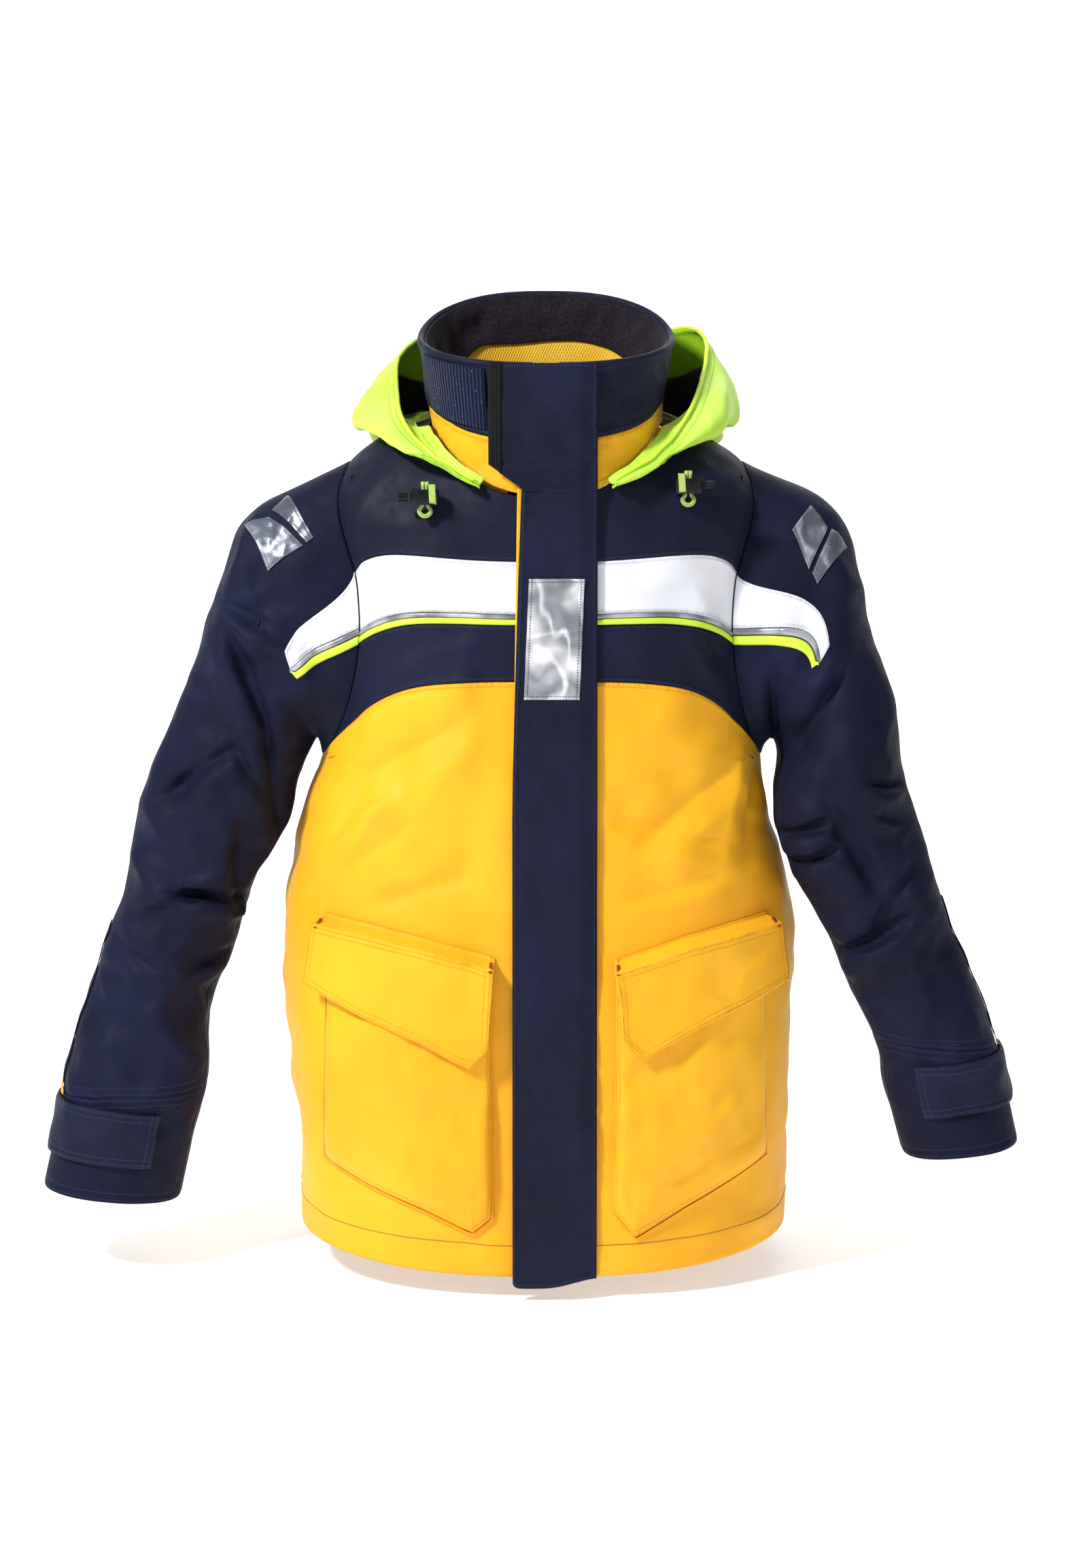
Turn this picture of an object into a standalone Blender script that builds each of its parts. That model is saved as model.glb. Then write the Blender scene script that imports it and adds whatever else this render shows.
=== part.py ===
"""A foul weather jacket for sailing: storm flap over a full-length zip, bellows pockets, cuff straps,
stand-up collar with an unfurled hood, cord locks and retroreflective patches.

Metres, +Z up. The wearer faces -Y, so the wearer's right side (names ending _R) is at -X.
Heights are measured from 40 mm below the front hem; one empty then moves everything so that the hang
loop inside the back of the neck is at the origin.
"""

import math

import bmesh
import bpy
import numpy as np
from mathutils import Matrix, Vector

JACKET = "foul_weather_jacket"

# Driving sizes
HEM = 0.040
NECK = 0.735
COLLAR_TOP = 0.8505
ZIP_LEAN = 0.0684  # how far the straight centre front leans back per metre of height
ZIP_FOOT_Y = -0.166  # centre front at the hem
SHELL = 0.0022  # shell fabric with its bonded backing
SEAM = 0.0005  # gap left at every seam
FRONT_EDGE = 0.0105  # half of the slot the zip shows in
FLAP_LEFT = -0.030
FLAP_SEWN = 0.0455
FLAP_FOOT = 0.031
FLAP_TOP = 0.7430
TAB_LEFT = -0.0505
TAB_SLANT = 0.0205  # height over which the collar tab widens from the flap's width
FLAP_NARROWS, FLAP_NARROWS_FROM = 0.0085, 0.45  # how much the flap's free edge draws in at the neck, and from where
BINDING = 0.0118
ROUND = 0.8  # below 1 makes the body's sections squarer than an ellipse
HANG_LOOP = (0.0, 0.0730, 0.815)

# Body sections: height at centre front, half width at -X, half width at +X, height at the side,
# depth and height at centre back.
BODY = np.array([
    (HEM, 0.228, 0.223, 0.056, 0.135, 0.044),
    (0.150, 0.234, 0.226, 0.158, 0.138, 0.150),
    (0.300, 0.238, 0.228, 0.303, 0.135, 0.305),
    (0.380, 0.235, 0.221, 0.382, 0.130, 0.390),
    (0.440, 0.225, 0.206, 0.440, 0.126, 0.455),
    (0.500, 0.203, 0.196, 0.497, 0.125, 0.520),
    (0.573, 0.190, 0.189, 0.585, 0.128, 0.600),
    (0.632, 0.187, 0.187, 0.660, 0.127, 0.670),
    (0.684, 0.188, 0.188, 0.744, 0.119, 0.744),
    (0.712, 0.150, 0.150, 0.779, 0.103, 0.784),
    (NECK, 0.104, 0.104, 0.793, 0.086, 0.812),
])

# The armhole is an oval in the body's own (turn, height) coordinates.
ARM_MID, ARM_HALF, ARM_TURN = 0.5935, 0.0970, 0.52
HOOD_DROP = 0.016

# Collar sections: rise, front height, half width, side height, back depth, back height
COLLAR = np.array([
    (0.00, NECK + 0.0016, 0.104, 0.793, 0.086, 0.812),
    (0.43, 0.7855, 0.107, 0.824, 0.088, 0.850),
    (0.80, 0.8290, 0.112, 0.853, 0.094, 0.888),
    (1.00, COLLAR_TOP, 0.1145, 0.868, 0.096, 0.905),
])
COLLAR_SEAM, COLLAR_SEAM_DIP = 0.43, 0.13

# Sleeve sections: outer edge x, z, inner edge x, z, centre y, half depth
SLEEVE = {
    "R": np.array([
        (-0.2700, 0.7080, -0.2090, 0.5050, 0.000, 0.0840),
        (-0.3020, 0.6300, -0.2170, 0.4930, 0.000, 0.0800),
        (-0.3400, 0.5290, -0.2250, 0.4700, -0.002, 0.0730),
        (-0.3680, 0.4650, -0.2370, 0.4300, -0.004, 0.0680),
        (-0.3830, 0.4000, -0.2620, 0.3880, -0.008, 0.0640),
        (-0.3959, 0.3440, -0.2839, 0.3219, -0.014, 0.0620),
        (-0.4190, 0.2773, -0.3080, 0.2600, -0.022, 0.0600),
        (-0.4384, 0.2176, -0.3120, 0.2000, -0.032, 0.0595),
        (-0.4480, 0.1680, -0.3220, 0.1560, -0.040, 0.0580),
        (-0.4630, 0.0980, -0.3370, 0.0860, -0.052, 0.0560),
    ]),
    "L": np.array([
        (0.2680, 0.7080, 0.2040, 0.5050, 0.000, 0.0840),
        (0.2940, 0.6150, 0.2090, 0.4900, -0.014, 0.0800),
        (0.3150, 0.5434, 0.2070, 0.4650, -0.034, 0.0740),
        (0.3260, 0.4762, 0.2065, 0.4324, -0.050, 0.0700),
        (0.3420, 0.4177, 0.2240, 0.3900, -0.050, 0.0650),
        (0.3630, 0.3550, 0.2520, 0.3400, -0.046, 0.0620),
        (0.3870, 0.3000, 0.2770, 0.2850, -0.047, 0.0600),
        (0.4060, 0.2520, 0.2990, 0.2400, -0.050, 0.0590),
        (0.4190, 0.2050, 0.3110, 0.1920, -0.054, 0.0580),
        (0.4330, 0.1430, 0.3270, 0.1310, -0.064, 0.0560),
    ]),
}
CUFF_SEAM = {"R": (7.75, 7.25), "L": (7.45, 7.05)}  # section number at the outer and inner edge
SIDE = {"R": -1.0, "L": 1.0}

# Hood sections by turn from centre front: body height and lift of the lowest fold, reach of the
# free rim out from the neck seam, rim height
HOOD = np.array([
    (0.42, 0.7310, 0.0060, 0.007, 0.7500),
    (0.80, 0.7220, 0.0110, 0.013, 0.7740),
    (1.15, 0.7140, 0.0150, 0.021, 0.8050),
    (1.57, 0.7065, 0.0180, 0.028, 0.8400),
    (2.05, 0.7000, 0.0240, 0.036, 0.8680),
    (2.60, 0.6740, 0.0340, 0.048, 0.8680),
    (math.pi, 0.6550, 0.0400, 0.056, 0.8600),
])

COLOURS = {
    "navy": ((0.013, 0.017, 0.043), 0.55, 0.0),
    "yellow": ((1.0, 0.50, 0.012), 0.55, 0.0),
    "lining_yellow": ((1.0, 0.66, 0.06), 0.70, 0.0),
    "lime": ((0.55, 0.95, 0.06), 0.50, 0.0),
    "white": ((0.88, 0.89, 0.92), 0.50, 0.0),
    "grey": ((0.28, 0.29, 0.31), 0.40, 0.2),
    "fleece": ((0.014, 0.010, 0.016), 0.95, 0.0),
    "ribbed": ((0.012, 0.030, 0.085), 0.80, 0.0),
    "black": ((0.008, 0.008, 0.009), 0.45, 0.0),
    "black_plastic": ((0.012, 0.012, 0.013), 0.35, 0.0),
    "film": ((0.45, 0.47, 0.50), 0.18, 0.6),
    "shoulder_film": ((0.20, 0.23, 0.30), 0.20, 0.5),
}


# ---------------------------------------------------------------- scene and materials

def clear_scene():
    for obj in list(bpy.data.objects):
        bpy.data.objects.remove(obj, do_unlink=True)


def material(name):
    found = bpy.data.materials.get(name)
    if found:
        return found
    colour, roughness, metallic = COLOURS[name]
    made = bpy.data.materials.new(name)
    made.use_nodes = True
    made.diffuse_color = (*colour, 1.0)
    shader = made.node_tree.nodes["Principled BSDF"]
    shader.inputs["Base Color"].default_value = (*colour, 1.0)
    shader.inputs["Roughness"].default_value = roughness
    shader.inputs["Metallic"].default_value = metallic
    return made


def new_collection(name):
    made = bpy.data.collections.new(name)
    bpy.context.scene.collection.children.link(made)
    return made


def empty(name, parent, place=(0, 0, 0)):
    made = bpy.data.objects.new(name, None)
    made.empty_display_size = 0.02
    made.location = place
    made.parent = parent
    collection.objects.link(made)
    return made


def attach(made, colour, parent, pivot):
    """Puts a finished object in the jacket with its origin at the pivot."""
    made.data.materials.append(material(colour))
    collection.objects.link(made)
    made.parent = parent
    made.location = np.asarray(pivot) - np.asarray(parent["place"])
    return made


def add(name, points, faces, colour, parent, pivot=(0, 0, 0)):
    """A smooth mesh object whose points are given in the jacket's frame."""
    mesh = bpy.data.meshes.new(name)
    mesh.from_pydata([tuple(p) for p in np.asarray(points) - np.asarray(pivot)], [], faces)
    mesh.shade_smooth()
    return attach(bpy.data.objects.new(name, mesh), colour, parent, pivot)


def add_shape(name, shape, colour, parent, pivot=(0, 0, 0)):
    """A hard-edged mesh object from a bmesh whose points are given in the jacket's frame."""
    bmesh.ops.recalc_face_normals(shape, faces=shape.faces)
    bmesh.ops.translate(shape, verts=shape.verts, vec=-Vector(pivot))
    mesh = bpy.data.meshes.new(name)
    shape.to_mesh(mesh)
    shape.free()
    return attach(bpy.data.objects.new(name, mesh), colour, parent, pivot)


# ---------------------------------------------------------------- smooth tables and surfaces

def through(table, at):
    """The rows of a table joined by a smooth curve, read at one value of its first column."""
    knots = table[:, 0]
    rows = table[:, 1:]
    slopes = np.gradient(rows, knots, axis=0)
    at = min(max(at, knots[0]), knots[-1])
    i = min(int(np.searchsorted(knots, at, side="right")) - 1, len(knots) - 2)
    span = knots[i + 1] - knots[i]
    t = (at - knots[i]) / span
    return (
        (2 * t**3 - 3 * t**2 + 1) * rows[i]
        + (t**3 - 2 * t**2 + t) * span * slopes[i]
        + (3 * t**2 - 2 * t**3) * rows[i + 1]
        + (t**3 - t**2) * span * slopes[i + 1]
    )


def zip_y(z):
    return ZIP_FOOT_Y + ZIP_LEAN * (z - HEM)


def section_point(turn, front_z, half_minus, half_plus, side_z, back_y, back_z, slope=2.0):
    """A point of one squared oval section; turn 0 is centre front and grows towards +X."""
    s, c = math.sin(turn), math.cos(turn)
    x = math.copysign(abs(s) ** ROUND, s) * (half_plus if s > 0 else half_minus)
    depth = -zip_y(front_z) if c > 0 else back_y
    y = -math.copysign(abs(c) ** ROUND, c) * depth
    end_z = front_z if c > 0 else back_z
    return Vector((x, y, side_z + (end_z - side_z) * abs(c) ** slope))


def body_surface(turn, height):
    minus, plus, side_z, back_y, back_z = through(BODY, height)
    return section_point(turn, height, minus, plus, side_z, back_y, back_z)


def collar_surface(turn, rise):
    """The stand-up collar: its edge follows the neck at the seam and is a rounder curve at the rim."""
    front_z, half, side_z, back_y, back_z = through(COLLAR, rise)
    return section_point(turn, front_z, half, half, side_z, back_y, back_z, 2.0 - 0.9 * min(1.0, rise))


def lifted(surface, a, b, lift, step=1e-3):
    """The surface's point moved outwards along its normal."""
    point = surface(a, b)
    if not lift:
        return point
    normal = (surface(a + step, b) - surface(a - step, b)).cross(
        surface(a, b + step) - surface(a, b - step))
    return point + normal.normalized() * lift


def arm_turn(height):
    """How far round from centre front the shell reaches at this height before the armhole."""
    rise = (height - ARM_MID) / ARM_HALF
    return math.pi / 2 - ARM_TURN * math.sqrt(max(0.0, 1 - rise * rise))


def front_turn(x, z):
    """The turn that puts a point of the front at this x."""
    minus, plus = through(BODY, z)[:2]
    half = plus if x > 0 else minus
    return math.copysign(math.asin(min(1.0, (abs(x) / half)) ** (1 / ROUND)), x)


def front_point(x, z, lift=0.0):
    return lifted(body_surface, front_turn(x, z), z, lift)


def centre_point(x, z, lift):
    """A point near the flat centre front, lifted square to the zip."""
    lean = math.hypot(1, ZIP_LEAN)
    return Vector((x, zip_y(z) - lift / lean, z + lift * ZIP_LEAN / lean))


def armhole(phi):
    """The armhole's own curve: phi 0 at the shoulder, a quarter turn at the front, half under the arm."""
    return math.pi / 2 - ARM_TURN * math.sin(phi), ARM_MID + ARM_HALF * math.cos(phi)


def sleeve_ring(side, number):
    """Centre, outward half axis, forward half axis of one sleeve section."""
    outer_x, outer_z, inner_x, inner_z, y, depth = SLEEVE[side][number]
    outer = Vector((outer_x, y, outer_z))
    inner = Vector((inner_x, y, inner_z))
    return (outer + inner) / 2, (outer - inner) / 2, Vector((0, -depth, 0))


def sleeve_table(side, phi):
    """Where one line along the sleeve crosses each section, the armhole being section 0."""
    turn, height = armhole(phi)
    start = body_surface(SIDE[side] * turn, height) + Vector((SIDE[side] * 0.0042, 0, 0))
    rows = [(0.0, *start)]
    for number in range(len(SLEEVE[side])):
        centre, outward, forward = sleeve_ring(side, number)
        c, s = math.cos(phi), math.sin(phi)
        point = (centre + outward * math.copysign(abs(c) ** 0.9, c)
                 + forward * math.copysign(abs(s) ** 0.9, s))
        rows.append((number + 1.0, *point))
    return np.array(rows)


def sleeve_surface(side):
    return lambda phi, along: Vector(through(sleeve_table(side, phi), along))


def hood_lines(turn):
    """The five points one section of the hood is drawn through, from the neck seam to the free rim."""
    height, lift, reach, rim_z = through(HOOD, min(abs(turn), 2 * math.pi - abs(turn)))
    if turn > math.pi:  # the hood lies lower and closer on the wearer's right
        rim_z -= HOOD_DROP * math.sin(turn) ** 2
        reach *= 1 - 0.25 * math.sin(turn) ** 2
    seam = body_surface(turn, NECK - 0.004)
    out = Vector((seam.x, seam.y, 0)).normalized()
    seam = seam + out * 0.0045 + Vector((0, 0, 0.004))
    low = lifted(body_surface, turn, (NECK - 0.004 + height) / 2, 0.0055)
    fold = lifted(body_surface, turn, height, lift)
    rim = Vector((seam.x, seam.y, rim_z)) + out * reach
    outer = (fold + rim) / 2 + out * 0.010
    return np.array([(0.0, *seam), (0.3, *low), (0.5, *fold), (0.75, *outer), (1.0, *rim)])


def hood_surface(turn, across):
    """The unfurled hood: across 0 at the neck seam, 0.5 at its lowest fold, 1 at the free face edge."""
    return Vector(through(hood_lines(turn), across))


# ---------------------------------------------------------------- closed solids from grids

def grid_faces(rows, columns, ring=False):
    faces = []
    for r in range(rows - 1):
        for c in range(columns if ring else columns - 1):
            d = (c + 1) % columns
            faces.append((r * columns + c, r * columns + d, (r + 1) * columns + d, (r + 1) * columns + c))
    return faces


def sheet(name, grid, colour, parent, thickness=SHELL, ring=False, pivot=(0, 0, 0), outward=None):
    """Fabric laid through a grid of points: the grid is its outer face, thickened inwards."""
    rows, columns = len(grid), len(grid[0])
    faces = grid_faces(rows, columns, ring)
    middle = grid[rows // 2][columns // 2]
    across = grid[rows // 2][(columns // 2 + 1) % columns] - grid[rows // 2][columns // 2 - 1]
    up = grid[min(rows // 2 + 1, rows - 1)][columns // 2] - grid[max(rows // 2 - 1, 0)][columns // 2]
    towards = Vector(outward) if outward else Vector((middle.x, middle.y, 0))
    if across.cross(up).dot(towards) < 0:
        faces = [face[::-1] for face in faces]
    points = [p for row in grid for p in row]
    made = add(name, points, faces, colour, parent, pivot)
    thicken = made.modifiers.new("thickness", "SOLIDIFY")
    thicken.thickness = thickness
    thicken.offset = -1
    return made


def steps(start, end, count):
    return [start + (end - start) * i / (count - 1) for i in range(count)]


def patch(surface, firsts, seconds, lift=0.0):
    """A grid over a surface: firsts may be a function of the second coordinate."""
    return [[lifted(surface, a, b, lift) for a in (firsts(b) if callable(firsts) else firsts)]
            for b in seconds]


def between(low, high, fractions, rows, sign, lift=0.0):
    """A front or back panel between two seam lines, its edge following the armhole."""
    grid = []
    for r in steps(0, 1, rows):
        line = []
        for f in fractions:
            height = low(abs(f)) + (high(abs(f)) - low(abs(f))) * r
            turn = f * (arm_turn(height) if ARM_MID - ARM_HALF < height < ARM_MID + ARM_HALF
                        else math.pi / 2)
            line.append(lifted(body_surface, sign(turn), height, lift))
        grid.append(line)
    return grid


def centre_block(name, across, heights, lifts, colour, parent, pivot=(0, 0, 0)):
    """A straight bar lying along the zip line, between two values of x, height and lift."""
    low = centre_point(across[0], heights[0], lifts[0])
    high = centre_point(across[1], heights[1], lifts[1])
    length = (heights[1] - heights[0]) * math.hypot(1, ZIP_LEAN)
    size = (abs(across[1] - across[0]), lifts[1] - lifts[0], length)
    lean = Matrix.Rotation(-math.atan(ZIP_LEAN), 4, "X")
    shape = bmesh.new()
    bmesh.ops.create_cube(shape, size=1.0,
                          matrix=Matrix.Translation((low + high) / 2) @ lean @ Matrix.Diagonal((*size, 1.0)))
    return add_shape(name, shape, colour, parent, pivot)


# ---------------------------------------------------------------- seam lines of the body

def lower_seam(f):
    return 0.573 - 0.030 * f**2 - 0.038 * f**5


def band_foot(f):
    return 0.632 - 0.035 * f**2.5


def band_top(f):
    return 0.6785 - 0.0405 * f**1.72


def below(line, gap):
    return lambda f: line(f) - gap


def level(height):
    return lambda f: height


def front_fractions(count, first=FRONT_EDGE, height=0.5):
    """Fractions of the way round from the zip slot to the side, on one side of the body."""
    start = front_turn(first, height) / (math.pi / 2)
    return steps(start, 1 - 0.002, count)


def body_fronts(root):
    for side, sign in SIDE.items():
        turn_of = lambda turn, sign=sign: sign * turn
        wide = front_fractions(11)
        sheet(f"front_lower_{side}", between(level(HEM), below(lower_seam, SEAM), wide, 11, turn_of),
              "yellow", root)
        sheet(f"chest_panel_{side}", between(below(lower_seam, -2 * SEAM), below(band_foot, 0.0095), wide, 5, turn_of),
              "navy", root)
        sheet(f"piping_lime_{side}", between(below(band_foot, 0.0089), below(band_foot, 0.0042),
              wide, 2, turn_of, 0.0008), "lime", root, 0.0030)
        sheet(f"piping_grey_{side}", between(below(band_foot, 0.0036), below(band_foot, 0.0006),
              wide, 2, turn_of, 0.0008), "grey", root, 0.0030)
        sheet(f"white_band_{side}", between(band_foot, below(band_top, SEAM), wide, 4, turn_of),
              "white", root)
        sheet(f"front_yoke_{side}", between(band_top, level(NECK - 0.001), wide, 7, turn_of),
              "navy", root)
        sheet(f"lining_front_{side}", between(level(HEM + 0.03), level(NECK - 0.02),
              front_fractions(7, 0.040), 9, turn_of, -0.0068), "lining_yellow", root, 0.0012)


def body_back(root):
    behind = lambda turn: math.pi - turn
    wide = steps(-0.998, 0.998, 21)
    seam = level(0.585)
    sheet("back_lower", between(level(HEM), below(seam, SEAM), wide, 10, behind), "yellow", root)
    sheet("back_yoke", between(seam, level(NECK - 0.001), wide, 8, behind), "navy", root)
    sheet("lining_back", between(level(HEM + 0.03), level(NECK - 0.02), steps(-0.985, 0.985, 15),
          11, behind, -0.0068), "lining_yellow", root, 0.0012)


# ---------------------------------------------------------------- collar

def collar_turns(count, gap):
    start = front_turn(gap, NECK)
    return steps(start, 2 * math.pi - start, count)


def collar_seam(turn):
    """How far up the collar its navy upper part starts: lower at the sides than at front and back."""
    return COLLAR_SEAM - COLLAR_SEAM_DIP * math.sin(turn) ** 2


def collar_band(turns, low, high, rows, lift=0.0):
    """A grid round the collar between two edges given as a rise for each turn."""
    return [[lifted(collar_surface, t, low(t) + (high(t) - low(t)) * r, lift) for t in turns]
            for r in steps(0, 1, rows)]


def collar(root):
    around = collar_turns(33, 0.0120)
    sheet("collar_base", collar_band(around, level(0.012), below(collar_seam, 0.004), 3), "yellow", root)
    sheet("collar_shell", collar_band(around, collar_seam, level(1.0), 4, 0.0012), "navy", root, 0.0030)
    sheet("collar_lining", patch(collar_surface, collar_turns(33, 0.0300), steps(0.03, 0.985, 4), -0.0030),
          "fleece", root, 0.0040)
    sheet("collar_loop_patch",
          collar_band(steps(-1.15, -0.40, 9), below(collar_seam, -0.05), level(0.95), 3, 0.0035),
          "ribbed", root, 0.0014)


def hang_loop(root):
    """A flat strap, its two ends sewn to the neck seam, standing off far enough for a hook."""
    x, y, z = HANG_LOOP
    outline = [(-0.026, 0.0030), (-0.022, -0.0030), (-0.012, -0.0085), (0.012, -0.0085),
               (0.022, -0.0030), (0.026, 0.0030)]
    grid = [[Vector((x + dx, y + dy, z + dz)) for dx, dy in outline] for dz in (-0.004, 0.004)]
    sheet("hang_loop", grid, "navy", root, 0.0012, outward=(0, -1, 0))


# ---------------------------------------------------------------- zip and flaps

def zip_parts(root):
    foot, top = HEM + 0.008, COLLAR_TOP - 0.012
    for side, sign in SIDE.items():
        centre_block(f"zip_tape_{side}", (sign * 0.0042, sign * 0.0160), (foot, top),
                     (-0.0044, -0.0036), "black", root)
        centre_block(f"zip_teeth_{side}", (sign * 0.0010, sign * 0.0038), (foot, top - 0.004),
                     (-0.0049, -0.0021), "black_plastic", root)
    z = top - 0.012
    slider = zip_slider(z, root)
    centre_block("zip_pull", (-0.0030, 0.0030), (z - 0.030, z + 0.0060), (0.0002, 0.0018),
                 "black_plastic", slider, centre_point(0, z + 0.004, 0.0010))


def zip_slider(z, root):
    """Two plates joined by a web that runs between the rows of teeth: one outline drawn along the zip."""
    half, web, tall = 0.0055, 0.0006, 0.0150
    top, upper, lower, foot = -0.0002, -0.0017, -0.0053, -0.0068
    right = [(half, foot), (half, lower), (web, lower), (web, upper), (half, upper), (half, top)]
    outline = [*right, *[(-x, lift) for x, lift in reversed(right)]]
    shape = bmesh.new()
    low = shape.faces.new([shape.verts.new(centre_point(x, z - tall / 2, lift)) for x, lift in outline])
    drawn = bmesh.ops.extrude_face_region(shape, geom=[low])["geom"]
    corners = [part for part in drawn if isinstance(part, bmesh.types.BMVert)]
    bmesh.ops.translate(shape, verts=corners, vec=(0, ZIP_LEAN * tall, tall))
    pivot = centre_point(0, z, 0)
    slider = add_shape("zip_slider", shape, "black_plastic", root, pivot)
    slider["place"] = list(pivot)
    return slider


def flap_lift(x):
    """Height of the flap's outer face over the zip line: flat over the zip, down at its sewn edge."""
    return float(np.interp(x, (FLAP_LEFT, -0.020, 0.030, FLAP_SEWN), (0.0068, 0.0078, 0.0078, 0.0036)))


def flap_left(z):
    """The flap's free edge: straight, then drawing in towards the neck."""
    rise = max(0.0, (z - FLAP_NARROWS_FROM) / (FLAP_TOP - FLAP_NARROWS_FROM))
    return FLAP_LEFT + FLAP_NARROWS * rise**1.3


def storm_flap(root):
    pivot = centre_point(FLAP_SEWN, FLAP_FOOT, 0.0020)
    hinge = empty("storm_flap_hinge", root, pivot - Vector(root["place"]))
    hinge["place"] = list(pivot)
    across = [-0.020, -0.008, 0.008, 0.020, 0.030, 0.038, FLAP_SEWN]
    grid = []
    for z in steps(FLAP_FOOT, FLAP_TOP, 12):
        left = flap_left(z)
        grid.append([centre_point(max(x, left + 0.003), z, flap_lift(x)) for x in across])
        grid[-1].insert(0, centre_point(left, z, flap_lift(left)))
    sheet("storm_flap", grid, "navy", hinge, 0.0026, pivot=pivot)
    shoulder = FLAP_TOP + 0.0012
    top, tip = COLLAR_TOP + 0.002, flap_left(FLAP_TOP)

    def slant_z(x):
        return shoulder + TAB_SLANT * (tip - x) / (tip - TAB_LEFT)

    inner_left = TAB_LEFT + BINDING + 0.0005
    bend = slant_z(inner_left)
    tab_grid = []
    for z in [*steps(shoulder, bend, 3), *steps(bend + 0.018, top, 4)]:
        left = max(inner_left, tip + (inner_left - tip) * (z - shoulder) / (bend - shoulder))
        line = [left, *[max(x, left + 0.004 * (i + 1)) for i, x in enumerate(across)]]
        tab_grid.append([centre_point(x, z, 0.0078 if x < 0.03 else flap_lift(x)) for x in line])
    sheet("collar_tab", tab_grid, "navy", hinge, 0.0026, pivot=pivot)
    binding = [[centre_point(x, slant_z(x) + (top - slant_z(x)) * t, 0.0078)
                for x in (TAB_LEFT, TAB_LEFT + BINDING)] for t in steps(0, 1, 4)]
    sheet("tab_binding", binding, "black", hinge, 0.0030, pivot=pivot)
    film = [[centre_point(x, z, 0.0088) for x in (-0.0165, 0.0325)] for z in steps(0.558, 0.664, 2)]
    sheet("chest_reflector", film, "film", hinge, 0.0006, pivot=pivot)
    inner = [[centre_point(x, z, -0.0105) for x in (-0.034, 0.0, 0.034)]
             for z in steps(HEM + 0.006, COLLAR_TOP - 0.020, 4)]
    sheet("inner_storm_flap", inner, "navy", root, 0.0014)


# ---------------------------------------------------------------- pockets

POCKET = {  # columns from the side to the zip: top x, z and bottom x, z
    "R": {
        "flap": [(-0.1990, 0.3490, -0.2060, 0.2940), (-0.1600, 0.3450, -0.1650, 0.2740),
                 (-0.1100, 0.3355, -0.1130, 0.2530), (-0.0640, 0.3245, -0.0660, 0.2301),
                 (-0.0455, 0.3200, -0.0502, 0.2467)],
        "bag": [(-0.1960, 0.3350, -0.1990, 0.1280), (-0.1600, 0.3310, -0.1600, 0.1130),
                (-0.1100, 0.3210, -0.1100, 0.0972), (-0.0660, 0.3105, -0.0648, 0.0779),
                (-0.0490, 0.3060, -0.0475, 0.0933)],
    },
    "L": {
        "flap": [(0.1990, 0.3480, 0.2040, 0.2950), (0.1650, 0.3440, 0.1690, 0.2790),
                 (0.1230, 0.3360, 0.1260, 0.2610), (0.0850, 0.3245, 0.0835, 0.2380),
                 (0.0607, 0.3171, 0.0658, 0.2560)],
        "bag": [(0.1950, 0.3350, 0.1975, 0.1290), (0.1650, 0.3310, 0.1650, 0.1150),
                (0.1230, 0.3220, 0.1230, 0.0970), (0.0810, 0.3100, 0.0791, 0.0735),
                (0.0630, 0.3040, 0.0600, 0.0970)],
    },
}
POCKET_DEPTH = 0.0150
POCKET_EDGE = 0.0034
FLAP_PIVOT = 0.0240  # the fold line stands this far off the shell, so that the flap clears it


def refined(columns, parts=2):
    table = np.array([(i, *column) for i, column in enumerate(columns)])
    places = steps(0, len(columns) - 1, (len(columns) - 1) * parts + 1)
    return [[float(np.interp(at, table[:, 0], table[:, k])) for k in range(1, 5)] for at in places]


def pocket(side, root):
    """A bag sewn down at its sides and foot and open at the top, and the flap that covers its mouth."""
    wide = refined(POCKET[side]["bag"])
    bag = []
    for r in steps(0, 1, 8):
        line = []
        for k, (tx, tz, bx, bz) in enumerate(wide):
            c = 2 * k / (len(wide) - 1) - 1
            lift = POCKET_EDGE + (POCKET_DEPTH - POCKET_EDGE) * (1 - c**8) * (1 - r**10)
            line.append(front_point(tx + (bx - tx) * r, tz + (bz - tz) * r, lift))
        bag.append(line)
    sheet(f"pocket_bag_{side}", bag, "yellow", root)
    columns = refined(POCKET[side]["flap"])
    last = columns[-1]
    lift = POCKET_DEPTH + 0.0056
    pivot = front_point(last[0], last[1], FLAP_PIVOT)
    hinge = empty(f"pocket_flap_{side}_hinge", root, pivot - Vector(root["place"]))
    hinge["place"] = list(pivot)
    flap = []
    for r in steps(0, 1, 5):
        flap.append([front_point(tx + (bx - tx) * r, tz + (bz - tz) * r, lift) for tx, tz, bx, bz in columns])
    sheet(f"pocket_flap_{side}", flap, "yellow", hinge, 0.0030, pivot=pivot)


# ---------------------------------------------------------------- sleeves

def seam_along(side, phi):
    outer, inner = CUFF_SEAM[side]
    return 1 + (outer + inner) / 2 + (outer - inner) / 2 * math.cos(phi)


def sleeve(side, root):
    surface = sleeve_surface(side)
    around = [2 * math.pi * i / 22 for i in range(22)]
    last = len(SLEEVE[side])
    upper, cuff = [], []
    for r in steps(0, 1, 14):
        upper.append([surface(phi, r * (seam_along(side, phi) - 0.012)) for phi in around])
    for r in steps(0, 1, 5):
        cuff.append([surface(phi, seam_along(side, phi) + r * (last - seam_along(side, phi)))
                     for phi in around])
    ring_sheet(f"sleeve_upper_{side}", upper, root)
    ring_sheet(f"sleeve_cuff_{side}", cuff, root)


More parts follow.
